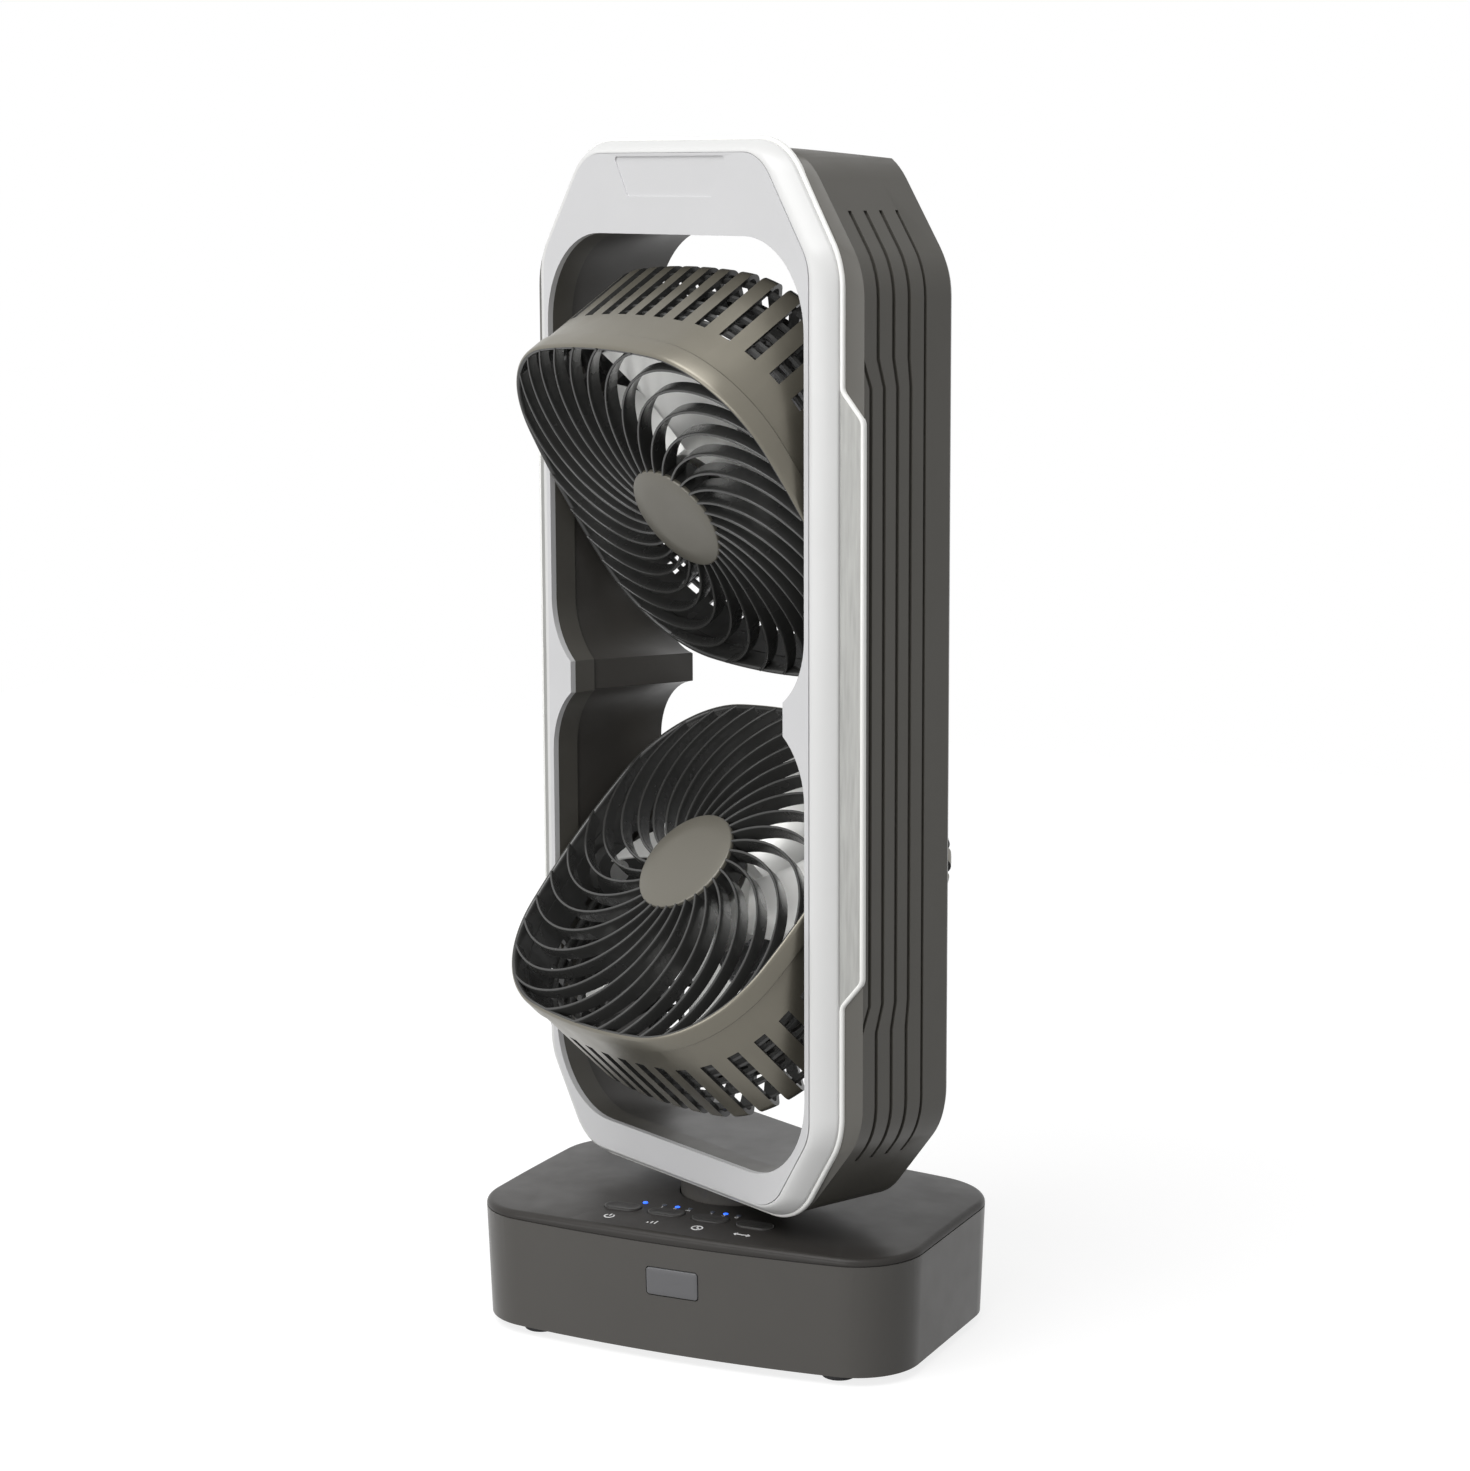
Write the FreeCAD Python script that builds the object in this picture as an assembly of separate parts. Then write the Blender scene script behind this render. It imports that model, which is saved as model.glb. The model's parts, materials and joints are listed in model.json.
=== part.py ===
import FreeCAD, Part
import math
import os

# Dual-head desk fan: a weighted base, a turning neck, a tower frame and two tilting fan heads.
# Millimetres, +Z up, the base's front towards -Y, origin at the centre of the base's flat underside.

# Fits and walls
FIT = 0.25
RUNNING = 0.05
WALL = 2.6

# Rest pose: the tower's turn on the base, and each head's tilt (positive faces up)
TOWER_TURN = -26.5
UPPER_TILT = -32.5
LOWER_TILT = 44.0

# Base box
BASE_HALF_WIDTH = 115.0
BASE_HALF_DEPTH = 66.5
BASE_BOW = 9.5
BASE_CORNER_RADIUS = 34.0
BASE_TAPER = 2.0
SEAM_HEIGHT = 54.5
BOTTOM_PLATE_THICKNESS = 3.0
FOOT_RADIUS = 8.5
FOOT_HEIGHT = 4.5
FOOT_EDGE = 0.8
FOOT_STEM_RADIUS = 3.0
FOOT_SIDE_INSET = 35.0
FOOT_FRONT_INSET = 11.5
DECK_DROP = 14.5
DECK_THICKNESS = 3.0
DECK_BACK_INSET = 20.5
BASE_POST_RADIUS = 5.0
BASE_POST_INSET = 23.0
BASE_POST_Y = 27.0
BALLAST_SIDE_INSET = 41.0
BALLAST_FRONT_INSET = 22.5
BALLAST_THICKNESS = 5.0
LABEL_HALF_LENGTH = 42.0
LABEL_HALF_WIDTH = 28.0
LABEL_CORNER_RADIUS = 4.0
LABEL_GROOVE_WIDTH = 1.0
LABEL_GROOVE_DEPTH = 0.5

# Top cover and its controls
COVER_RISE = 6.5
COVER_DOME_RADIUS = 2500.0
COVER_EDGE_RADIUS = 3.0
COVER_SEAM = 0.6
COVER_UNDERSIDE = 2.5
COVER_LIP_DEPTH = 4.0
COVER_POST_RADIUS = 4.0
COVER_POST_SIDE_INSET = 15.0
COVER_POST_BACK_X = 60.0
COVER_POST_BACK_INSET = 6.0
BUTTON_LENGTH = 19.0
BUTTON_WIDTH = 10.5
BUTTON_PITCH = 23.6
BUTTON_ROW_X = -3.0
BUTTON_ROW_INSET = 19.5
BUTTON_PROUD = 0.1
BUTTON_RIM = 1.4
BUTTON_CLEARANCE = 0.3
BUTTON_TRAVEL = 0.6
STEM_RADIUS = 1.8
LENS_RADIUS = 1.3
LENS_COLLAR = 0.8
LENS_ROW_GAP = 9.5
LENS_PITCH = 7.0
POWER_LENS_X = -31.0
SPEED_LENS_X = -13.5
TIMER_LENS_X = 12.5
BOARD_HALF_LENGTH = 54.0
BOARD_FRONT_REACH = 19.0
BOARD_BACK_REACH = 11.0
BOARD_DROP = 9.5
BOARD_THICKNESS = 1.6
BOARD_POST_RADIUS = 2.8
BOARD_POST_INSET = 3.5
SWITCH_SIDE = 6.0
SWITCH_HEIGHT = 3.4
SWITCH_PLUNGER = 0.85
RECEIVER_WIDTH = 9.6
RECEIVER_DEPTH = 6.0
RECEIVER_HEIGHT = 9.0
RECEIVER_DROP = 3.4
RECEIVER_LEG_RADIUS = 0.65
RECEIVER_LEG_PITCH = 2.6

# Receiver window in the front wall
WINDOW_X = 2.0
WINDOW_DROP = 18.7
WINDOW_HALF_LENGTH = 13.9
WINDOW_HALF_HEIGHT = 7.2
WINDOW_CORNER_RADIUS = 2.0
WINDOW_PROUD = 0.4

# Mains side
GLAND_X = -50.0
GLAND_HEIGHT = 20.0
GLAND_RADIUS = 6.5
GLAND_FLANGE = 9.0
GLAND_BORE = 3.6
GLAND_LIP = 2.0
GLAND_TAIL = 6.0
POWER_BOARD_INSET = 29.0
POWER_BOARD_HALF_LENGTH = 20.0
POWER_BOARD_HALF_DEPTH = 28.0
POWER_BOARD_DROP = 5.0

# Oscillation drive
GEAR_MODULE = 1.5
GEAR_TEETH = 40
PINION_TEETH = 12
GEAR_FACE = 8.0
GEAR_BACKLASH = 0.35
GEAR_DEDENDUM = 1.25
PRESSURE_ANGLE = 20.0
MESH_GAP = 0.15
DRIVE_SHAFT_RADIUS = 2.5
DRIVE_MOTOR_RADIUS = 17.0
DRIVE_MOTOR_LENGTH = 19.0
DRIVE_EAR_REACH = 22.0
EAR_RADIUS = 4.5
EAR_THICKNESS = 2.0

# Neck
NECK_RADIUS = 27.0
NECK_WALL = 8.0
NECK_FLANGE_LIP = 6.0
NECK_FLANGE_THICKNESS = 4.0
NECK_GAP = 9.5
NECK_CLEARANCE = 0.8
SPIGOT_STEP = 7.0
THRUST_WASHER_THICKNESS = 2.5
RETAINER_WIDTH = 5.0
RETAINER_THICKNESS = 3.5
NECK_STUB_WALL = 5.0
NECK_PLATE_HALF_LENGTH = 40.0
NECK_PLATE_HALF_DEPTH = 23.0
NECK_PLATE_THICKNESS = 3.0

# Tower frame, measured from its front face and from the middle of its height
AXIS_DEPTH = 37.0
BODY_DEPTH = 68.0
BODY_SIDE_RAIL = 26.0
BODY_TOP_RAIL = 39.4
BODY_BOTTOM_RAIL = 20.0
BODY_CUT_X = 41.5
BODY_CUT_Z = 54.0
BODY_LOW_CUT_X = 44.0
BODY_LOW_CUT_Z = 50.0
BODY_CORNER_RADIUS = 36.0
TOP_FALL = 5.0
REAR_EDGE = 4.0
PARTING_DEPTH = 48.0
PARTING_GROOVE = 1.7
FLARE_DEPTH = 13.3
FLARE_SIDE = 10.3
FLARE_TUCK = 4.2
FACE_SIDE_RAIL = 3.0
FACE_TOP_RAIL = 37.4
FACE_BOTTOM_RAIL = 14.5
FACE_CUT_X = 35.0
FACE_CUT_Z = 49.0
FACE_LOW_CUT_X = 28.0
FACE_LOW_CUT_Z = 41.0
FACE_CORNER_RADIUS = 24.0
FACE_THICKNESS = 3.0
BEVEL_DEPTH = 10.4
BEVEL_OVERLAP = 0.3
BEVEL_END = 6.5
BEVEL_SLANT = 10.6
BEVEL_BULGE = 0.62
BEVEL_START = 0.04
BEVEL_STEPS = 5
BADGE_TOP_HALF = 43.0
BADGE_BOTTOM_HALF = 32.5
BADGE_HEIGHT = 18.5
BADGE_MARGIN = 1.5
BADGE_RECESS = 0.8
OPENING_SIDE_GAP = 3.0
OPENING_TOP_GAP = 13.1
OPENING_BOTTOM_GAP = 15.5
OPENING_CORNER_RADIUS = 43.0
PINCH_DEPTH = 15.5
REAR_PINCH_DEPTH = 27.0
PINCH_FLAT_HALF = 7.8
PINCH_REACH = 38.0
BAND_LAP = 1.5
BAND_WALL = 2.4
LINER_WALL = 2.0
LINER_STEP = 0.8
GROOVE_WIDTH = 2.0
GROOVE_DEPTH = 1.6
GROOVE_COUNT = 4
GROOVE_FIRST = 17.2
GROOVE_PITCH = 7.8
GROOVE_JOG = 4.9
JOG_SLOPE = 13.0
JOG_ABOVE = 2.8
GROOVE_TOP_INSET = 28.0
GROOVE_BOTTOM_INSET = 34.0
TRIM_TOP_INSET = 108.3
TRIM_BOTTOM_INSET = 110.9
TRIM_SLOPE = 17.0
TRIM_THICKNESS = 0.8
TRIM_RETURN = 0.4
BOSS_RADIUS = 4.5
BOSS_INSET = 13.0
BOSS_PIVOT_GAP = 57.3

# Head, measured forward from its tilt axis
PIVOT_DEPTH = 30.7
HEAD_GAP = 1.8
HEAD_HALF = 96.0
HEAD_CORNER_SHARE = 0.625
HEAD_DIAGONAL_SHARE = 1.125
RIM_FRONT = 29.4
RIM_DEPTH = 10.5
RIM_WALL = 3.0
DRUM_STEP = 1.0
DRUM_WALL = 2.4
SHELL_BACK = -41.5
SHOULDER_RADIUS = 6.0
SHELL_LEDGE = 29.0
SLOT_COUNT = 44
SLOT_WIDTH = 6.5
SLOT_FRONT = 2.5
SLOT_LEDGE = 7.0
RUNG_COUNT = 5
RUNG_FIRST = 3.5
RUNG_PITCH = 5.0
RUNG_GROWTH = 1.3
RUNG_THICKNESS = 1.6
RUNG_INSET = 1.4
RUNG_DEPTH = 3.0
BOSS_CLEAR_ANGLE = 12.0
CAP_RADIUS = 27.3
CAP_FRONT = 33.2
CAP_THICKNESS = 2.0
VANE_COUNT = 30
VANE_THICKNESS = 1.7
VANE_BACK = 24.0
VANE_DROP = 0.6
VANE_ROOT_LEAD = 1.0
VANE_MID_SWEEP = 20.0
VANE_SWEEP = 62.0
HUB_WALL = 3.0
HUB_BACK = 19.5
GUARD_BACK = -60.0
GUARD_THICKNESS = 3.0
GUARD_LAP = 10.0
GUARD_CENTRE_MARGIN = 6.0
GUARD_SPOKES = 24
GUARD_SPOKE_WIDTH = 2.0
GUARD_RINGS = 4
GUARD_BOSS_RADIUS = 4.0
TRUNNION_RADIUS = 6.0
TRUNNION_BOSS_RADIUS = 14.0
TRUNNION_BOSS_INSET = 1.5
TRUNNION_BOSS_DEPTH = 8.5
TRUNNION_TAIL = 7.0
BUSH_RADIUS = 9.0
BUSH_FLANGE = 12.0
BUSH_LENGTH = 7.0
CLIP_RADIUS = 9.5
CLIP_THICKNESS = 2.0
WASHER_RADIUS = 11.0
WASHER_GAP = 0.3
MOTOR_RADIUS = 26.0
MOTOR_LENGTH = 30.0
MOTOR_NOSE_RADIUS = 8.0
MOTOR_NOSE_LENGTH = 3.0
SHAFT_RADIUS = 3.0
MOTOR_SCREW_CIRCLE = 16.0
BLADE_COUNT = 5
BLADE_HUB_RADIUS = 22.0
BLADE_HUB_BACK = -12.0
BLADE_HUB_FRONT = 12.0
BLADE_TIP_GAP = 13.0
BLADE_ROOT_CHORD = 26.0
BLADE_TIP_CHORD = 52.0
BLADE_ROOT_PITCH = 42.0
BLADE_TIP_PITCH = 24.0
BLADE_THICKNESS = 1.8
BLADE_SWEEP = 22.0
BLADE_CAMBER = 0.07
NUT_RADIUS = 9.0
NUT_LENGTH = 5.0
NUT_FLUTES = 8
NUT_FLUTE_RADIUS = 1.5

# Screws
SCREW_RADIUS = 1.5
SCREW_HEAD_RADIUS = 3.0
SCREW_HEAD_HEIGHT = 2.0
SCREW_LENGTH = 10.0
SCREW_SINK = 1.0
BOARD_SCREW_LENGTH = 6.0
SCREW_SLACK = 0.08
RETAINER_SCREWS = 3
PLATE_SCREWS = 4
GUARD_SCREWS = 4
GUARD_SCREW_ANGLE = 40.0
MOTOR_SCREWS = 3

V = FreeCAD.Vector
ORIGIN = V(0, 0, 0)
X_AXIS = V(1, 0, 0)
Y_AXIS = V(0, 1, 0)
Z_AXIS = V(0, 0, 1)

# Heights and places that follow from the sizes above
FOOT_X = BASE_HALF_WIDTH - FOOT_SIDE_INSET
FOOT_Y = BASE_HALF_DEPTH - FOOT_FRONT_INSET
BASE_POST_X = BASE_HALF_WIDTH - BASE_POST_INSET
BALLAST_HALF_LENGTH = BASE_HALF_WIDTH - BALLAST_SIDE_INSET
BALLAST_HALF_WIDTH = BASE_HALF_DEPTH - BALLAST_FRONT_INSET
DECK_HEIGHT = SEAM_HEIGHT - DECK_DROP
NECK_FLANGE = NECK_RADIUS + NECK_FLANGE_LIP
SPIGOT_RADIUS = NECK_RADIUS - SPIGOT_STEP
NECK_BORE = SPIGOT_RADIUS - NECK_WALL
NECK_STUB_RADIUS = NECK_BORE + NECK_STUB_WALL
NECK_SCREW_CIRCLE = NECK_BORE + NECK_STUB_WALL / 2
DECK_FRONT = -NECK_FLANGE
DECK_BACK = BASE_HALF_DEPTH - DECK_BACK_INSET
COVER_POST_SIDE_X = BASE_HALF_WIDTH - COVER_POST_SIDE_INSET
COVER_POST_BACK_Y = DECK_BACK - COVER_POST_BACK_INSET
BUTTON_ROW_Y = BUTTON_ROW_INSET - BASE_HALF_DEPTH
LENS_ROW_Y = BUTTON_ROW_Y + LENS_ROW_GAP
BOARD_FRONT = BUTTON_ROW_Y - BOARD_FRONT_REACH
BOARD_BACK = BUTTON_ROW_Y + BOARD_BACK_REACH
BOARD_HEIGHT = SEAM_HEIGHT - BOARD_DROP
WINDOW_HEIGHT = SEAM_HEIGHT - WINDOW_DROP
POWER_BOARD_X = BASE_POST_X - POWER_BOARD_INSET
HEAD_CORNER_RADIUS = HEAD_HALF * HEAD_CORNER_SHARE
HEAD_DIAGONAL = HEAD_HALF * HEAD_DIAGONAL_SHARE
DRUM_HALF = HEAD_HALF - DRUM_STEP
FRONT_SWEEP = math.hypot(HEAD_HALF, RIM_FRONT)
BACK_SWEEP = math.hypot(DRUM_HALF - SHOULDER_RADIUS, SHELL_BACK + SHOULDER_RADIUS) + SHOULDER_RADIUS
HEAD_SWEEP = max(FRONT_SWEEP, BACK_SWEEP)
SHELL_LEDGE_RADIUS = DRUM_HALF - SHELL_LEDGE
SLOT_INNER_RADIUS = SHELL_LEDGE_RADIUS + SLOT_LEDGE
GUARD_OUTER_RADIUS = SHELL_LEDGE_RADIUS + GUARD_LAP
GUARD_CENTRE_RADIUS = MOTOR_RADIUS + GUARD_CENTRE_MARGIN
BLADE_TIP_RADIUS = DRUM_HALF - BLADE_TIP_GAP
TRUNNION_BOSS_FACE = HEAD_HALF - TRUNNION_BOSS_INSET
PIVOT_SPREAD = HEAD_SWEEP + HEAD_GAP / 2
OPENING_HALF_WIDTH = HEAD_HALF + OPENING_SIDE_GAP
OPENING_TOP = PIVOT_SPREAD + HEAD_SWEEP + OPENING_TOP_GAP
OPENING_BOTTOM = -(PIVOT_SPREAD + HEAD_SWEEP + OPENING_BOTTOM_GAP)
PINCH_HALF_WIDTH = OPENING_HALF_WIDTH - PINCH_DEPTH
REAR_PINCH_HALF_WIDTH = OPENING_HALF_WIDTH - REAR_PINCH_DEPTH
BUSH_END = OPENING_HALF_WIDTH + BUSH_LENGTH
TRUNNION_END = BUSH_END + TRUNNION_TAIL
FACE_HALF_WIDTH = OPENING_HALF_WIDTH + FACE_SIDE_RAIL
FACE_TOP = OPENING_TOP + FACE_TOP_RAIL
FACE_BOTTOM = OPENING_BOTTOM - FACE_BOTTOM_RAIL
BODY_HALF_WIDTH = OPENING_HALF_WIDTH + BODY_SIDE_RAIL
BODY_TOP = OPENING_TOP + BODY_TOP_RAIL
BODY_BOTTOM = OPENING_BOTTOM - BODY_BOTTOM_RAIL
BAND_DEPTH = BEVEL_DEPTH + WALL + BAND_LAP
BEVEL_SIDE = BODY_HALF_WIDTH - FLARE_SIDE + BEVEL_OVERLAP - FACE_HALF_WIDTH
GROOVE_TOP = BODY_TOP - GROOVE_TOP_INSET
GROOVE_BOTTOM = BODY_BOTTOM + GROOVE_BOTTOM_INSET
TRIM_TOP = BODY_TOP - TRIM_TOP_INSET
TRIM_BOTTOM = BODY_BOTTOM + TRIM_BOTTOM_INSET
BOSS_X = BODY_HALF_WIDTH - BOSS_INSET
BOSS_REACH = PIVOT_SPREAD + BOSS_PIVOT_GAP
COVER_TOP = SEAM_HEIGHT + COVER_RISE
COVER_INSIDE = SEAM_HEIGHT + COVER_UNDERSIDE
DECK_TOP = DECK_HEIGHT + DECK_THICKNESS
NECK_FLANGE_BOTTOM = DECK_TOP + THRUST_WASHER_THICKNESS
TOWER_BOTTOM_HEIGHT = COVER_TOP + NECK_GAP
TOWER_MID_HEIGHT = TOWER_BOTTOM_HEIGHT - BODY_BOTTOM
GEAR_TOP = DECK_HEIGHT - 2 * FIT
GEAR_BOTTOM = GEAR_TOP - GEAR_FACE
GEAR_RADIUS = GEAR_MODULE * GEAR_TEETH / 2
PINION_RADIUS = GEAR_MODULE * PINION_TEETH / 2
PINION_X = -(GEAR_RADIUS + PINION_RADIUS + MESH_GAP)
RIM_BACK = RIM_FRONT - RIM_DEPTH
BOARD_TOP = BOARD_HEIGHT + BOARD_THICKNESS
SWITCH_TOP = BOARD_TOP + SWITCH_HEIGHT


# Plain building blocks


def block(x0, x1, y0, y1, z0, z1):
    return Part.makeBox(x1 - x0, y1 - y0, z1 - z0, V(x0, y0, z0))


def rod(radius, start, axis, length):
    return Part.makeCylinder(radius, length, start, axis)


def tube(outer, inner, start, axis, length):
    return rod(outer, start, axis, length).cut(rod(inner, start, axis, length))


def joined(first, *others):
    return first.fuse(list(others)).removeSplitter()


def group(solids):
    return Part.makeCompound(solids)


def screw(start, axis, length):
    """Pan-head screw: the head's underside at start, the shank along axis."""
    head_start = start - axis * SCREW_HEAD_HEIGHT
    head = rod(SCREW_HEAD_RADIUS, head_start, axis, SCREW_HEAD_HEIGHT)
    return joined(head, rod(SCREW_RADIUS, start, axis, length))


def level(height):
    """Maps a flat outline's points to the horizontal plane at a height."""
    return lambda point: V(point.x, point.y, height)


def upright(depth):
    """Maps a flat outline's points to the tower's upright plane at a depth."""
    return lambda point: V(point.x, depth, point.y)


def rounded_polygon(corners, radius, place):
    """Closed wire through the corners, each one rounded by a tangent arc."""
    arcs = []
    for i, here in enumerate(corners):
        back = (corners[i - 1] - here).normalize()
        ahead = (corners[(i + 1) % len(corners)] - here).normalize()
        half = back.getAngle(ahead) / 2
        reach = radius / math.tan(half)
        inward = (back + ahead).normalize()
        middle = here + inward * (radius / math.sin(half) - radius)
        arcs.append((here + back * reach, middle, here + ahead * reach))
    edges = []
    for i, (start, middle, end) in enumerate(arcs):
        following = arcs[(i + 1) % len(arcs)][0]
        edges.append(Part.Arc(place(start), place(middle), place(end)).toShape())
        edges.append(Part.LineSegment(place(end), place(following)).toShape())
    return Part.Wire(edges)


def rounded_plate(x, y, half_length, half_width, radius, place, thickness):
    corners = [V(x - half_length, y - half_width), V(x + half_length, y - half_width),
               V(x + half_length, y + half_width), V(x - half_length, y + half_width)]
    return Part.Face(rounded_polygon(corners, radius, place)).extrude(thickness)


def arc_edge(centre, radius, first_angle, last_angle, place):
    points = []
    for angle in (first_angle, (first_angle + last_angle) / 2, last_angle):
        points.append(place(centre + V(math.cos(angle), math.sin(angle)) * radius))
    return Part.Arc(*points).toShape()


def line_edge(start, end, place):
    return Part.LineSegment(place(start), place(end)).toShape()


def grown(corners, side, end, slant):
    """Convex outline with its upright, level and slanted edges moved outwards by their own amounts."""
    moved = []
    normals = []
    for i, here in enumerate(corners):
        along = (corners[(i + 1) % len(corners)] - here).normalize()
        normal = V(along.y, -along.x)
        amount = slant
        if abs(normal.y) < 1e-6:
            amount = side
        if abs(normal.x) < 1e-6:
            amount = end
        normals.append((normal, amount))
    for i, here in enumerate(corners):
        n1, d1 = normals[i - 1]
        n2, d2 = normals[i]
        turn = n1.x * n2.y - n1.y * n2.x
        shift = V(d1 * n2.y - d2 * n1.y, d2 * n1.x - d1 * n2.x) * (1 / turn)
        moved.append(here + shift)
    return moved


# Base


def base_wire(inset, height):
    """Base outline: bowed long sides, straight short sides and round corners, all inset alike."""
    bow_radius = (BASE_HALF_WIDTH ** 2 + BASE_BOW ** 2) / (2 * BASE_BOW)
    bow_centre = V(0, bow_radius - BASE_HALF_DEPTH - BASE_BOW)
    corner_x = BASE_HALF_WIDTH - BASE_CORNER_RADIUS
    corner_drop = math.sqrt((bow_radius - BASE_CORNER_RADIUS) ** 2 - corner_x ** 2)
    right = V(corner_x, bow_centre.y - corner_drop)
    left = V(-right.x, right.y)
    join = math.atan2(-corner_drop, corner_x)
    corner = BASE_CORNER_RADIUS - inset
    side = V(right.x + corner, right.y)
    edges = []
    for facing in (1, -1):
        def place(point):
            return V(point.x * facing, point.y * facing, height)
        edges.append(arc_edge(left, corner, -math.pi, -math.pi - join, place))
        edges.append(arc_edge(bow_centre, bow_radius - inset, -math.pi - join, join, place))
        edges.append(arc_edge(right, corner, join, 0, place))
        edges.append(line_edge(side, V(side.x, -side.y), place))
    return Part.Wire(Part.__sortEdges__(edges))


def base_solid(inset):
    """The base box's tapered volume, inset from its outer walls."""
    return Part.makeLoft([base_wire(BASE_TAPER + inset, 0), base_wire(inset, SEAM_HEIGHT)], True, True)


def base_prism(inset, bottom, top):
    return Part.Face(base_wire(inset, bottom)).extrude(Z_AXIS * (top - bottom))


def corners_of(x, y):
    return [(x, y), (-x, y), (-x, -y), (x, -y)]


def cover_post_places():
    places = [(COVER_POST_SIDE_X, 0), (-COVER_POST_SIDE_X, 0)]
    places.append((COVER_POST_BACK_X, COVER_POST_BACK_Y))
    places.append((-COVER_POST_BACK_X, COVER_POST_BACK_Y))
    return places


def control_post_places():
    front = BOARD_FRONT + BOARD_POST_INSET
    back = BOARD_BACK - BOARD_POST_INSET
    side = BOARD_HALF_LENGTH - BOARD_POST_INSET
    return [(side, front), (-side, front), (-side, back), (side, back)]


def power_post_places():
    reach_x = POWER_BOARD_HALF_LENGTH - BOARD_POST_INSET
    reach_y = POWER_BOARD_HALF_DEPTH - BOARD_POST_INSET
    return [(POWER_BOARD_X + x, y) for x, y in corners_of(reach_x, reach_y)]


def bottom_screws():
    """Screws up through the bottom plate into the base's posts."""
    return [(V(x, y, SCREW_HEAD_HEIGHT), Z_AXIS) for x, y in corners_of(BASE_POST_X, BASE_POST_Y)]


def cover_screws():
    """Screws up through the deck into the cover's posts."""
    return [(V(x, y, DECK_HEIGHT), Z_AXIS) for x, y in cover_post_places()]


def control_screws():
    """Screws up through the control board into the cover's short posts."""
    return [(V(x, y, BOARD_HEIGHT), Z_AXIS) for x, y in control_post_places()]


def power_screws():
    """Screws up through the power board into the deck's hanging posts."""
    return [(V(x, y, power_board_height()), Z_AXIS) for x, y in power_post_places()]


def motor_top():
    return GEAR_BOTTOM - RETAINER_THICKNESS - 2 * FIT


def drive_screws():
    """Screws up through the drive motor's ears."""
    height = motor_top() - EAR_THICKNESS
    return [(V(PINION_X, y, height), Z_AXIS) for y in (DRIVE_EAR_REACH, -DRIVE_EAR_REACH)]


def power_board_height():
    return DECK_HEIGHT - POWER_BOARD_DROP - BOARD_THICKNESS


def drilled(shape, places, length):
    """Cuts screw clearance holes at the places, each from its head's underside on."""
    radius = SCREW_RADIUS + SCREW_SLACK
    return shape.cut([rod(radius, start, axis, length + 1) for start, axis in places])


def screws(places, length):
    return [screw(start, axis, length) for start, axis in places]


def window_prism(grow):
    """Receiver window's block, standing across the front wall."""
    place = upright(-BASE_HALF_DEPTH - 2 * BASE_BOW)
    radius = WINDOW_CORNER_RADIUS + grow
    half_length = WINDOW_HALF_LENGTH + grow
    half_height = WINDOW_HALF_HEIGHT + grow
    depth = Y_AXIS * BASE_HALF_DEPTH
    return rounded_plate(WINDOW_X, WINDOW_HEIGHT, half_length, half_height, radius, place, depth)


def make_base_body():
    walls = base_solid(0).cut(base_solid(WALL))
    reach = BASE_HALF_WIDTH
    deck = base_solid(WALL / 2).common(block(-reach, reach, DECK_FRONT, DECK_BACK, DECK_HEIGHT, DECK_TOP))
    posts = []
    for x, y in corners_of(BASE_POST_X, BASE_POST_Y):
        start = V(x, y, BOTTOM_PLATE_THICKNESS)
        posts.append(rod(BASE_POST_RADIUS, start, Z_AXIS, DECK_TOP - BOTTOM_PLATE_THICKNESS))
    for x, y in power_post_places():
        start = V(x, y, DECK_HEIGHT - POWER_BOARD_DROP)
        posts.append(rod(BOARD_POST_RADIUS, start, Z_AXIS, POWER_BOARD_DROP + DECK_THICKNESS))
    for y in (DRIVE_EAR_REACH, -DRIVE_EAR_REACH):
        posts.append(rod(EAR_RADIUS, V(PINION_X, y, motor_top()), Z_AXIS, DECK_TOP - motor_top()))
    body = joined(walls, deck, *posts)
    body = body.cut(rod(SPIGOT_RADIUS + RUNNING, V(0, 0, DECK_HEIGHT), Z_AXIS, DECK_THICKNESS))
    body = body.cut(window_prism(0))
    body = body.cut(rod(GLAND_RADIUS, V(GLAND_X, 0, GLAND_HEIGHT), Y_AXIS, 2 * BASE_HALF_DEPTH))
    body = drilled(body, bottom_screws() + cover_screws() + power_screws() + drive_screws(), SCREW_LENGTH)
    return body


def label_block(grow):
    """Label field under the base, grown, as deep as the groove around it."""
    depth = Z_AXIS * LABEL_GROOVE_DEPTH
    half_length = LABEL_HALF_LENGTH + grow
    half_width = LABEL_HALF_WIDTH + grow
    return rounded_plate(0, 0, half_length, half_width, LABEL_CORNER_RADIUS + grow, level(0), depth)


def make_bottom_plate():
    plate = base_prism(BASE_TAPER + WALL + FIT, 0, BOTTOM_PLATE_THICKNESS)
    plate = plate.cut(label_block(LABEL_GROOVE_WIDTH).cut(label_block(0)))
    for start, axis in bottom_screws():
        sink = start - axis * SCREW_HEAD_HEIGHT
        plate = plate.cut(rod(SCREW_HEAD_RADIUS + FIT, sink, axis, SCREW_HEAD_HEIGHT))
    for x, y in corners_of(FOOT_X, FOOT_Y):
        plate = plate.cut(rod(FOOT_STEM_RADIUS, V(x, y, 0), Z_AXIS, BOTTOM_PLATE_THICKNESS))
    return drilled(plate, bottom_screws(), SCREW_LENGTH)


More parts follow.
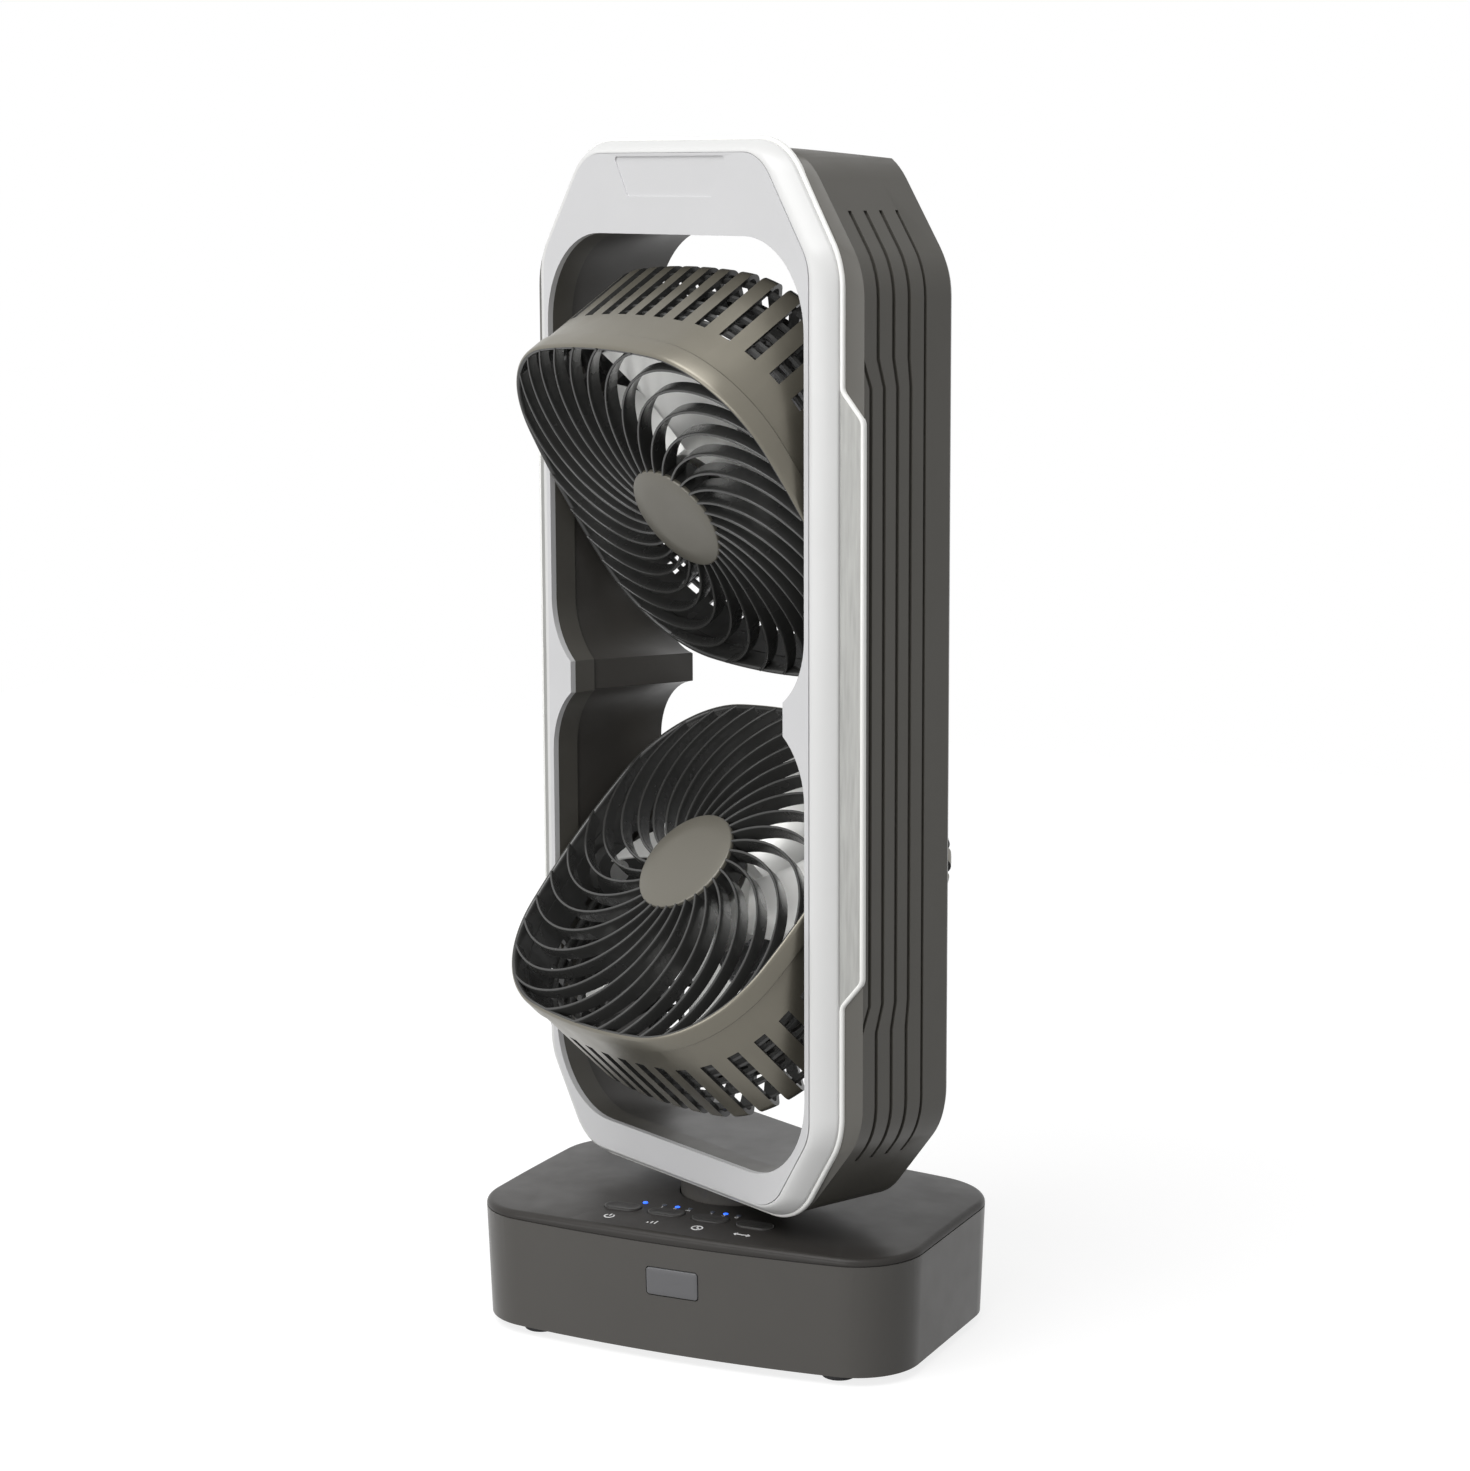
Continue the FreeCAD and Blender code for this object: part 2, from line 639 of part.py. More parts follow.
def make_rubber_feet():
    feet = []
    for x, y in corners_of(FOOT_X, FOOT_Y):
        pad = Part.makeCone(FOOT_RADIUS - FOOT_EDGE, FOOT_RADIUS, FOOT_EDGE, V(x, y, -FOOT_HEIGHT), Z_AXIS)
        disc = rod(FOOT_RADIUS, V(x, y, FOOT_EDGE - FOOT_HEIGHT), Z_AXIS, FOOT_HEIGHT - FOOT_EDGE)
        stem = rod(FOOT_STEM_RADIUS, V(x, y, 0), Z_AXIS, BOTTOM_PLATE_THICKNESS)
        feet.append(joined(pad, disc, stem))
    return group(feet)


def make_ballast():
    place = level(BOTTOM_PLATE_THICKNESS)
    thickness = Z_AXIS * BALLAST_THICKNESS
    return rounded_plate(0, 0, BALLAST_HALF_LENGTH, BALLAST_HALF_WIDTH, EAR_RADIUS, place, thickness)


def button_places():
    return [BUTTON_ROW_X + BUTTON_PITCH * (i - 1.5) for i in range(4)]


def button_prism(x, grow, bottom, top):
    """Oval key's outline, grown, between two heights."""
    half_width = BUTTON_WIDTH / 2 + grow
    half_length = BUTTON_LENGTH / 2 + grow
    reach = half_length - half_width
    near = BUTTON_ROW_Y - half_width
    far = BUTTON_ROW_Y + half_width
    middle = block(x - reach, x + reach, near, far, bottom, top)
    ends = []
    for side in (1, -1):
        centre = V(x + side * reach, BUTTON_ROW_Y, bottom)
        ends.append(rod(half_width, centre, Z_AXIS, top - bottom))
    return joined(middle, *ends)


def lens_places():
    places = [POWER_LENS_X]
    for centre in (SPEED_LENS_X, TIMER_LENS_X):
        places.extend([centre - LENS_PITCH, centre, centre + LENS_PITCH])
    return places


def make_top_cover():
    dome = Part.makeSphere(COVER_DOME_RADIUS, V(0, 0, COVER_TOP - COVER_DOME_RADIUS), Z_AXIS)
    top = base_prism(0, SEAM_HEIGHT + COVER_SEAM, COVER_TOP).common(dome)
    edge_floor = SEAM_HEIGHT + COVER_RISE / 2
    rim = [edge for edge in top.Edges if edge.BoundBox.ZMin > edge_floor]
    top = top.makeFillet(COVER_EDGE_RADIUS, rim)
    seam = base_prism(COVER_SEAM, SEAM_HEIGHT, SEAM_HEIGHT + COVER_SEAM)
    lip_outer = WALL + FIT
    lip = base_prism(lip_outer, SEAM_HEIGHT - COVER_LIP_DEPTH, COVER_INSIDE)
    lip = lip.cut(base_prism(lip_outer + BUTTON_RIM, SEAM_HEIGHT - COVER_LIP_DEPTH, COVER_INSIDE))
    cover = joined(top, seam).cut(base_prism(lip_outer, SEAM_HEIGHT, COVER_INSIDE))
    cover = joined(cover, lip)
    posts = []
    for x, y in cover_post_places():
        posts.append(rod(COVER_POST_RADIUS, V(x, y, DECK_TOP), Z_AXIS, COVER_INSIDE - DECK_TOP))
    for x, y in control_post_places():
        posts.append(rod(BOARD_POST_RADIUS, V(x, y, BOARD_TOP), Z_AXIS, COVER_INSIDE - BOARD_TOP))
    cover = joined(cover, *posts)
    holes = [rod(NECK_RADIUS + NECK_CLEARANCE, V(0, 0, SEAM_HEIGHT), Z_AXIS, 2 * COVER_RISE)]
    for x in button_places():
        holes.append(button_prism(x, BUTTON_CLEARANCE, SEAM_HEIGHT, COVER_TOP + COVER_RISE))
    for x in lens_places():
        holes.append(rod(LENS_RADIUS, V(x, LENS_ROW_Y, SEAM_HEIGHT), Z_AXIS, 2 * COVER_RISE))
    return drilled(cover.cut(holes), cover_screws() + control_screws(), SCREW_LENGTH)


def make_button(x):
    flange_top = COVER_INSIDE - BUTTON_CLEARANCE
    flange_bottom = flange_top - BUTTON_RIM
    key = button_prism(x, 0, flange_bottom, COVER_TOP + BUTTON_PROUD)
    flange = button_prism(x, BUTTON_RIM, flange_bottom, flange_top)
    stem_bottom = SWITCH_TOP + BUTTON_TRAVEL + RUNNING
    stem = rod(STEM_RADIUS, V(x, BUTTON_ROW_Y, stem_bottom), Z_AXIS, flange_bottom - stem_bottom)
    return joined(key, flange, stem)


def make_control_board():
    middle_y = (BOARD_FRONT + BOARD_BACK) / 2
    half_depth = (BOARD_BACK - BOARD_FRONT) / 2
    thickness = Z_AXIS * BOARD_THICKNESS
    place = level(BOARD_HEIGHT)
    board = rounded_plate(0, middle_y, BOARD_HALF_LENGTH, half_depth, BOARD_POST_INSET / 2, place, thickness)
    return drilled(board, control_screws(), SCREW_LENGTH)


def make_switches():
    half = SWITCH_SIDE / 2
    near = BUTTON_ROW_Y - half
    far = BUTTON_ROW_Y + half
    case_top = SWITCH_TOP - SWITCH_PLUNGER
    switches = []
    for x in button_places():
        case = block(x - half, x + half, near, far, BOARD_TOP, case_top)
        plunger = rod(STEM_RADIUS, V(x, BUTTON_ROW_Y, case_top), Z_AXIS, SWITCH_PLUNGER)
        switches.append(joined(case, plunger))
    return group(switches)


def make_lenses():
    top = COVER_TOP - FIT
    lenses = []
    for x in lens_places():
        pipe = rod(LENS_RADIUS, V(x, LENS_ROW_Y, BOARD_TOP), Z_AXIS, top - BOARD_TOP)
        collar_start = V(x, LENS_ROW_Y, COVER_INSIDE - LENS_RADIUS)
        collar = rod(LENS_RADIUS + LENS_COLLAR, collar_start, Z_AXIS, LENS_RADIUS)
        lenses.append(joined(pipe, collar))
    return group(lenses)


def make_window():
    pane = window_prism(0).common(base_solid(-WINDOW_PROUD))
    flange = window_prism(WINDOW_CORNER_RADIUS / 2).common(base_solid(WALL))
    return joined(pane, flange).cut(base_solid(WALL + WINDOW_CORNER_RADIUS))


def make_receiver():
    """Receiver can behind the window, with three legs up to the control board."""
    back = BOARD_FRONT + RECEIVER_DEPTH / 2
    front = BOARD_FRONT - RECEIVER_DEPTH / 2
    half = RECEIVER_WIDTH / 2
    top = BOARD_HEIGHT - RECEIVER_DROP
    can = block(WINDOW_X - half, WINDOW_X + half, front, back, top - RECEIVER_HEIGHT, top)
    legs = []
    for side in (-1, 0, 1):
        x = WINDOW_X + side * RECEIVER_LEG_PITCH
        y = BOARD_FRONT + 2 * RECEIVER_LEG_RADIUS
        legs.append(rod(RECEIVER_LEG_RADIUS, V(x, y, top), Z_AXIS, RECEIVER_DROP))
    return joined(can, *legs)


def make_power_board():
    height = power_board_height()
    place = level(height)
    thickness = Z_AXIS * BOARD_THICKNESS
    x = POWER_BOARD_X
    half_length = POWER_BOARD_HALF_LENGTH
    half_depth = POWER_BOARD_HALF_DEPTH
    board = rounded_plate(x, 0, half_length, half_depth, BOARD_POST_INSET / 2, place, thickness)
    third = half_length / 3
    coil = block(x - 2 * third, x + 2 * third, 0, 3 * third, height - 2 * third, height)
    can = rod(third, V(x, -2 * third, height - 2 * third), Z_AXIS, 2 * third)
    return drilled(joined(board, coil, can), power_screws(), SCREW_LENGTH)


def make_gland():
    start = V(GLAND_X, BASE_HALF_DEPTH - WALL, GLAND_HEIGHT)
    flange_end = BASE_BOW + WALL + GLAND_LIP
    flange = rod(GLAND_FLANGE, start, Y_AXIS, flange_end).cut(base_solid(0))
    inner_nut = rod(GLAND_FLANGE, start, Y_AXIS, flange_end).common(base_solid(WALL))
    barrel = rod(GLAND_RADIUS, start, Y_AXIS, flange_end + GLAND_TAIL)
    gland = joined(barrel, flange, inner_nut)
    return gland.cut(rod(GLAND_BORE, start, Y_AXIS, flange_end + GLAND_TAIL))


def make_drive_motor():
    top = motor_top()
    can = rod(DRIVE_MOTOR_RADIUS, V(PINION_X, 0, top - DRIVE_MOTOR_LENGTH), Z_AXIS, DRIVE_MOTOR_LENGTH)
    ears = []
    for y in (DRIVE_EAR_REACH, -DRIVE_EAR_REACH):
        ears.append(rod(EAR_RADIUS, V(PINION_X, y, top - EAR_THICKNESS), Z_AXIS, EAR_THICKNESS))
    left = PINION_X - EAR_RADIUS
    right = PINION_X + EAR_RADIUS
    bar = block(left, right, -DRIVE_EAR_REACH, DRIVE_EAR_REACH, top - EAR_THICKNESS, top)
    bore_start = V(PINION_X, 0, drive_shaft_bottom() - RUNNING)
    bore = rod(DRIVE_SHAFT_RADIUS + RUNNING, bore_start, Z_AXIS, DRIVE_MOTOR_LENGTH)
    return drilled(joined(can, bar, *ears).cut(bore), drive_screws(), SCREW_LENGTH)


def drive_shaft_bottom():
    return motor_top() - DRIVE_MOTOR_LENGTH + EAR_THICKNESS


def make_drive_shaft():
    bottom = drive_shaft_bottom()
    return rod(DRIVE_SHAFT_RADIUS, V(PINION_X, 0, bottom), Z_AXIS, GEAR_TOP - bottom)


def gear_prism(teeth, phase):
    """Spur gear blank centred on the Z axis, its teeth's flanks drawn in short straight lines."""
    pitch_radius = GEAR_MODULE * teeth / 2
    base_radius = pitch_radius * math.cos(math.radians(PRESSURE_ANGLE))
    root = pitch_radius - GEAR_DEDENDUM * GEAR_MODULE
    tip = pitch_radius + GEAR_MODULE
    centre_half = math.pi / (2 * teeth) - GEAR_BACKLASH / (2 * pitch_radius)

    def involute(radius):
        angle = math.acos(min(1.0, base_radius / radius))
        return math.tan(angle) - angle

    profile = []
    for radius in (root, pitch_radius, tip):
        profile.append((radius, centre_half + involute(pitch_radius) - involute(radius)))
    points = []
    for i in range(teeth):
        middle = math.radians(phase) + 2 * math.pi * i / teeth
        flank = [(radius, middle - half) for radius, half in profile]
        flank.extend([(radius, middle + half) for radius, half in reversed(profile)])
        points.extend([V(r * math.cos(a), r * math.sin(a), GEAR_BOTTOM) for r, a in flank])
    points.append(points[0])
    return Part.Face(Part.makePolygon(points)).extrude(Z_AXIS * GEAR_FACE)


def make_drive_pinion():
    bore = rod(DRIVE_SHAFT_RADIUS, V(0, 0, GEAR_BOTTOM), Z_AXIS, GEAR_FACE)
    pinion = gear_prism(PINION_TEETH, 0).cut(bore)
    pinion.translate(X_AXIS * PINION_X)
    return pinion


# Neck


def ring_of(count, radius, first_angle, height):
    places = []
    for i in range(count):
        angle = math.radians(first_angle + 360 * i / count)
        places.append(V(radius * math.cos(angle), radius * math.sin(angle), height))
    return places


def retainer_screws():
    """Screws up through the retainer into the spigot's end."""
    middle = (NECK_BORE + SPIGOT_RADIUS) / 2
    height = GEAR_BOTTOM - RETAINER_THICKNESS
    return [(place, Z_AXIS) for place in ring_of(RETAINER_SCREWS, middle, 90, height)]


def plate_screws():
    """Screws down through the neck plate into the column's stub."""
    height = neck_plate_height() + NECK_PLATE_THICKNESS
    return [(place, -Z_AXIS) for place in ring_of(PLATE_SCREWS, NECK_SCREW_CIRCLE, 45, height)]


def neck_plate_height():
    return TOWER_BOTTOM_HEIGHT + WALL


def make_neck_gear():
    half_pitch = 180 / GEAR_TEETH
    phase = half_pitch if GEAR_TEETH % 2 == 0 else 0
    gear = gear_prism(GEAR_TEETH, phase)
    return gear.cut(rod(SPIGOT_RADIUS, V(0, 0, GEAR_BOTTOM), Z_AXIS, GEAR_FACE))


def make_thrust_washer():
    start = V(0, 0, DECK_TOP)
    return tube(NECK_FLANGE, SPIGOT_RADIUS + NECK_CLEARANCE, start, Z_AXIS, THRUST_WASHER_THICKNESS)


def make_neck_column():
    spigot = rod(SPIGOT_RADIUS, V(0, 0, GEAR_BOTTOM), Z_AXIS, NECK_FLANGE_BOTTOM - GEAR_BOTTOM)
    flange = rod(NECK_FLANGE, V(0, 0, NECK_FLANGE_BOTTOM), Z_AXIS, NECK_FLANGE_THICKNESS)
    column = rod(NECK_RADIUS, V(0, 0, NECK_FLANGE_BOTTOM), Z_AXIS, TOWER_BOTTOM_HEIGHT - NECK_FLANGE_BOTTOM)
    stub = rod(NECK_STUB_RADIUS, V(0, 0, TOWER_BOTTOM_HEIGHT), Z_AXIS, WALL)
    neck = joined(spigot, flange, column, stub)
    neck = neck.cut(rod(NECK_BORE, V(0, 0, GEAR_BOTTOM), Z_AXIS, neck_plate_height() - GEAR_BOTTOM))
    return drilled(neck, retainer_screws() + plate_screws(), SCREW_LENGTH)


def make_neck_retainer():
    start = V(0, 0, GEAR_BOTTOM - RETAINER_THICKNESS)
    ring = tube(SPIGOT_RADIUS + RETAINER_WIDTH, NECK_BORE, start, Z_AXIS, RETAINER_THICKNESS)
    return drilled(ring, retainer_screws(), SCREW_LENGTH)


def make_neck_plate():
    place = level(neck_plate_height())
    thickness = Z_AXIS * NECK_PLATE_THICKNESS
    plate = rounded_plate(0, 0, NECK_PLATE_HALF_LENGTH, NECK_PLATE_HALF_DEPTH, EAR_RADIUS, place, thickness)
    plate.rotate(ORIGIN, Z_AXIS, TOWER_TURN)
    plate = plate.cut(rod(NECK_BORE, V(0, 0, neck_plate_height()), Z_AXIS, NECK_PLATE_THICKNESS))
    return drilled(plate, plate_screws(), SCREW_LENGTH)


# Tower


def in_tower(shape):
    """Moves a shape from the tower's own frame to its place at rest."""
    placed = shape.copy()
    placed.translate(V(0, -AXIS_DEPTH, TOWER_MID_HEIGHT))
    placed.rotate(ORIGIN, Z_AXIS, TOWER_TURN)
    return placed


def octagon(half, top, bottom, cut_x, cut_z, low_cut_x, low_cut_z):
    """Upright oblong with its four corners cut off, anticlockwise from its lower right."""
    right = [V(half - low_cut_x, bottom), V(half, bottom + low_cut_z)]
    right.extend([V(half, top - cut_z), V(half - cut_x, top)])
    return right + [V(-corner.x, corner.y) for corner in reversed(right)]


def face_wire(side, end, slant, depth):
    cuts = (FACE_CUT_X, FACE_CUT_Z, FACE_LOW_CUT_X, FACE_LOW_CUT_Z)
    corners = octagon(FACE_HALF_WIDTH, FACE_TOP, FACE_BOTTOM, *cuts)
    return rounded_polygon(grown(corners, side, end, slant), FACE_CORNER_RADIUS + slant, upright(depth))


def body_wire(side, end, slant, depth):
    cuts = (BODY_CUT_X, BODY_CUT_Z, BODY_LOW_CUT_X, BODY_LOW_CUT_Z)
    corners = octagon(BODY_HALF_WIDTH, BODY_TOP, BODY_BOTTOM, *cuts)
    return rounded_polygon(grown(corners, side, end, slant), BODY_CORNER_RADIUS + slant, upright(depth))


def deep(wire, depth):
    """Solid standing back from an upright outline."""
    return Part.Face(wire).extrude(Y_AXIS * depth)


def face_prism(grow, front, back):
    return deep(face_wire(grow, grow, grow, front), back - front)


def fallen(shape, grow):
    """The shape below the housing's top, which falls towards the back and ends in a slanted edge."""
    edge = BODY_DEPTH - REAR_EDGE
    left = -BODY_HALF_WIDTH
    top = BODY_TOP + grow
    low = top - TOP_FALL
    outline = [V(left, FLARE_DEPTH, top), V(left, edge, low), V(left, BODY_DEPTH, low - REAR_EDGE)]
    outline.extend([V(left, BODY_DEPTH, top + WALL), V(left, FLARE_DEPTH, top + WALL)])
    outline.append(outline[0])
    return shape.cut(Part.Face(Part.makePolygon(outline)).extrude(X_AXIS * (2 * BODY_HALF_WIDTH)))


def body_prism(grow, front, back):
    return fallen(deep(body_wire(grow, grow, grow, front), back - front), grow)


def opening_wire(grow, pinch_half, depth):
    """Through opening's outline: round ends, and sides that step in to a waist between the heads."""
    place = upright(depth)
    half = OPENING_HALF_WIDTH + grow
    corner = OPENING_CORNER_RADIUS + grow
    corner_x = OPENING_HALF_WIDTH - OPENING_CORNER_RADIUS
    top = OPENING_TOP - OPENING_CORNER_RADIUS
    bottom = OPENING_BOTTOM + OPENING_CORNER_RADIUS
    inset = OPENING_HALF_WIDTH - pinch_half
    fall = PINCH_REACH - PINCH_FLAT_HALF
    bend = (inset ** 2 + fall ** 2) / (2 * inset)
    bend_x = OPENING_HALF_WIDTH - bend
    waist = pinch_half + grow
    turn = math.acos((waist - bend_x) / (bend + grow))
    flat = PINCH_REACH - (bend + grow) * math.sin(turn)
    quarter = math.pi / 2
    right = [arc_edge(V(corner_x, top), corner, quarter, 0, place)]
    right.append(line_edge(V(half, top), V(half, PINCH_REACH), place))
    right.append(arc_edge(V(bend_x, PINCH_REACH), bend + grow, 0, -turn, place))
    right.append(line_edge(V(waist, flat), V(waist, -flat), place))
    right.append(arc_edge(V(bend_x, -PINCH_REACH), bend + grow, turn, 0, place))
    right.append(line_edge(V(half, -PINCH_REACH), V(half, bottom), place))
    right.append(arc_edge(V(corner_x, bottom), corner, 0, -quarter, place))
    left = [edge.mirror(ORIGIN, X_AXIS) for edge in right]
    ends = [line_edge(V(-corner_x, top + corner), V(corner_x, top + corner), place)]
    ends.append(line_edge(V(-corner_x, bottom - corner), V(corner_x, bottom - corner), place))
    return Part.Wire(Part.__sortEdges__(right + left + ends))


def opening_prism(grow, front, back):
    return deep(opening_wire(grow, PINCH_HALF_WIDTH, front), back - front)


def lining_solid(grow):
    """Volume inside the lining, from the front band's end to the tower's back."""
    front = opening_wire(LINER_STEP + grow, PINCH_HALF_WIDTH, BAND_DEPTH)
    back = opening_wire(LINER_STEP + grow, REAR_PINCH_HALF_WIDTH, BODY_DEPTH)
    return Part.makeLoft([front, back], True, True)


def make_front_plate():
    front = face_prism(0, 0, FACE_THICKNESS).cut(opening_prism(0, 0, FACE_THICKNESS))
    top = FACE_TOP - BADGE_MARGIN
    bottom = top - BADGE_HEIGHT
    corners = [V(-BADGE_BOTTOM_HALF, bottom), V(BADGE_BOTTOM_HALF, bottom)]
    corners.extend([V(BADGE_TOP_HALF, top), V(-BADGE_TOP_HALF, top)])
    badge = deep(rounded_polygon(corners, BADGE_MARGIN, upright(0)), BADGE_RECESS)
    return front.cut(badge)


def make_bevel():
    """Bulging surround, widening from the face's edge to the housing."""
    sections = []
    for step in range(BEVEL_STEPS + 1):
        share = BEVEL_START + (1 - BEVEL_START) * step / BEVEL_STEPS
        spread = share ** BEVEL_BULGE
        side = BEVEL_SIDE * spread
        end = BEVEL_END * spread
        slant = BEVEL_SLANT * spread
        sections.append(face_wire(side, end, slant, BEVEL_DEPTH * share))
    return Part.makeLoft(sections, True, True).cut(face_prism(FIT, 0, BEVEL_DEPTH))


def flared_solid(grow, front):
    """Front housing's volume: the flare behind the bevel, then straight back to the parting."""
    start = body_wire(grow - FLARE_SIDE, grow, grow - FLARE_TUCK, front)
    shoulder = FLARE_DEPTH + front - BEVEL_DEPTH
    flare = Part.makeLoft([start, body_wire(grow, grow, grow, shoulder)], True, True)
    return joined(flare, body_prism(grow, shoulder, PARTING_DEPTH))


def boss_places():
    places = []
    for height in (BOSS_REACH, 0, -BOSS_REACH):
        places.extend([(BOSS_X, height), (-BOSS_X, height)])
    return places


def tower_screw_places():
    seat = BODY_DEPTH - SCREW_HEAD_HEIGHT - SCREW_SINK
    return [(V(x, seat, z), -Y_AXIS) for x, z in boss_places()]


def tower_screw_length():
    return BODY_DEPTH - PARTING_DEPTH + SCREW_LENGTH / 2


def neck_stub_hole():
    return rod(NECK_STUB_RADIUS + FIT, V(0, AXIS_DEPTH, BODY_BOTTOM - WALL), Z_AXIS, 3 * WALL)


def groove_strips():
    """Long grooves along the flanks, stepped forward beyond the trim's ends, the first one most."""
    strips = []
    left = -BODY_HALF_WIDTH
    high_step = TRIM_TOP + JOG_ABOVE
    for i in range(GROOVE_COUNT):
        near = GROOVE_FIRST + GROOVE_PITCH * i - GROOVE_WIDTH / 2
        ahead = near - GROOVE_JOG * (1 - i / GROOVE_COUNT)
        path = [V(left, ahead, GROOVE_BOTTOM), V(left, ahead, TRIM_BOTTOM - JOG_SLOPE)]
        path.extend([V(left, near, TRIM_BOTTOM), V(left, near, high_step)])
        path.extend([V(left, ahead, high_step + JOG_SLOPE), V(left, ahead, GROOVE_TOP)])
        outline = path + [point + Y_AXIS * GROOVE_WIDTH for point in reversed(path)]
        outline.append(path[0])
        strips.append(Part.Face(Part.makePolygon(outline)).extrude(X_AXIS * (2 * BODY_HALF_WIDTH)))
    return strips


def make_front_housing():
    shell = flared_solid(0, BEVEL_DEPTH).cut(flared_solid(-WALL, BEVEL_DEPTH + WALL))
    skin = body_prism(0, FLARE_DEPTH, PARTING_DEPTH)
    skin = skin.cut(body_prism(-GROOVE_DEPTH, FLARE_DEPTH, PARTING_DEPTH))
    grooves = [skin.common(strip) for strip in groove_strips()]
    shell = shell.cut(grooves)
    bosses = []
    for x, z in boss_places():
        start = V(x, BEVEL_DEPTH + WALL / 2, z)
        bosses.append(rod(BOSS_RADIUS, start, Y_AXIS, PARTING_DEPTH - start.y))
    band = opening_prism(BAND_WALL, FACE_THICKNESS, BAND_DEPTH)
    shell = joined(shell, band, *bosses)
    shell = shell.cut([opening_prism(0, FACE_THICKNESS, BAND_DEPTH), neck_stub_hole()])
    return drilled(shell, tower_screw_places(), tower_screw_length())


def make_rear_housing():
    groove_end = PARTING_DEPTH + PARTING_GROOVE
    edge = BODY_DEPTH - REAR_EDGE
    rim = body_wire(-REAR_EDGE, -REAR_EDGE, -REAR_EDGE, BODY_DEPTH)
    back = fallen(Part.makeLoft([body_wire(0, 0, 0, edge), rim], True, True), 0)
    shell = joined(body_prism(0, PARTING_DEPTH, edge), back)
    shell = shell.cut(body_prism(-WALL, PARTING_DEPTH, BODY_DEPTH - WALL))
    half = BODY_HALF_WIDTH
    flanks = block(-half, half, PARTING_DEPTH, groove_end, GROOVE_BOTTOM, GROOVE_TOP)
    shell = shell.cut(flanks.cut(body_prism(-GROOVE_DEPTH, PARTING_DEPTH, groove_end)))
    length = BODY_DEPTH - WALL / 2 - PARTING_DEPTH
    bosses = []
    for x, z in boss_places():
        bosses.append(rod(BOSS_RADIUS, V(x, PARTING_DEPTH, z), Y_AXIS, length))
    shell = joined(shell, *bosses)
    cuts = [lining_solid(LINER_WALL + FIT), neck_stub_hole()]
    for start, axis in tower_screw_places():
        cuts.append(rod(SCREW_HEAD_RADIUS + FIT, start, -axis, BODY_DEPTH))
    return drilled(shell.cut(cuts), tower_screw_places(), tower_screw_length())


def pivot_places():
    return [(side, height) for side in (1, -1) for height in (PIVOT_SPREAD, -PIVOT_SPREAD)]


def make_liner():
    liner = lining_solid(LINER_WALL).cut(lining_solid(0))
    holes = []
    for side, height in pivot_places():
        holes.append(rod(BUSH_RADIUS, V(0, PIVOT_DEPTH, height), X_AXIS * side, BODY_HALF_WIDTH))
    return liner.cut(holes)


def make_trim(side):
    """Side trim lying on the flare, its ends cut on the slant."""
    front = BEVEL_DEPTH - TRIM_THICKNESS
    shoulder = FLARE_DEPTH - TRIM_THICKNESS
    outer = FLARE_DEPTH + TRIM_RETURN
    start = body_wire(TRIM_THICKNESS - FLARE_SIDE, 0, 0, front)
    flare = Part.makeLoft([start, body_wire(TRIM_THICKNESS, 0, 0, shoulder)], True, True)
    lip = deep(body_wire(TRIM_THICKNESS, 0, 0, shoulder), outer - shoulder)
    bevel_room = deep(body_wire(BEVEL_OVERLAP + FIT - FLARE_SIDE, 0, 0, front), TRIM_THICKNESS)
    skin = joined(flare, lip).cut([flared_solid(0, BEVEL_DEPTH), bevel_room])
    x = BODY_HALF_WIDTH / 2
    outline = [V(x, front, TRIM_BOTTOM), V(x, outer, TRIM_BOTTOM + TRIM_SLOPE)]
    outline.extend([V(x, outer, TRIM_TOP - TRIM_SLOPE), V(x, front, TRIM_TOP)])
    outline.append(outline[0])
    window = Part.Face(Part.makePolygon(outline)).extrude(X_AXIS * BODY_HALF_WIDTH)
    trim = skin.common(window)
    if side < 0:
        trim = trim.mirror(ORIGIN, X_AXIS)
    return trim


def make_bushes():
    inner = OPENING_HALF_WIDTH + LINER_STEP
    bushes = []
    for side, height in pivot_places():
        axis = X_AXIS * side
        barrel = rod(BUSH_RADIUS, V(side * inner, PIVOT_DEPTH, height), axis, BUSH_END - inner)
        flange = rod(BUSH_FLANGE, V(side * (inner + LINER_WALL), PIVOT_DEPTH, height), axis, LINER_WALL)
        bore = rod(TRUNNION_RADIUS + RUNNING, V(0, PIVOT_DEPTH, height), axis, BODY_HALF_WIDTH)
        bushes.append(joined(barrel, flange).cut(bore))
    return group(bushes)


# Head, in its own frame: the tilt axis along X, forward along +Z


def in_head(shape, tilt, height):
    """Moves a shape from a head's own frame to its place in the tower at rest."""
    placed = shape.copy()
    placed.rotate(ORIGIN, X_AXIS, 90 - tilt)
    placed.translate(V(0, PIVOT_DEPTH, height))
    return in_tower(placed)


def squircle(inset):
    """Centres and radii of the head's rounded square: its shallow side arc and its corner arc."""
    corner = HEAD_CORNER_RADIUS - inset
    reach = (HEAD_DIAGONAL - HEAD_CORNER_RADIUS) / math.sqrt(2)
    straight = HEAD_HALF - HEAD_CORNER_RADIUS
    back = (straight ** 2 - 2 * reach ** 2) / (2 * (reach - straight))
    return corner, reach, back, HEAD_HALF + back - inset


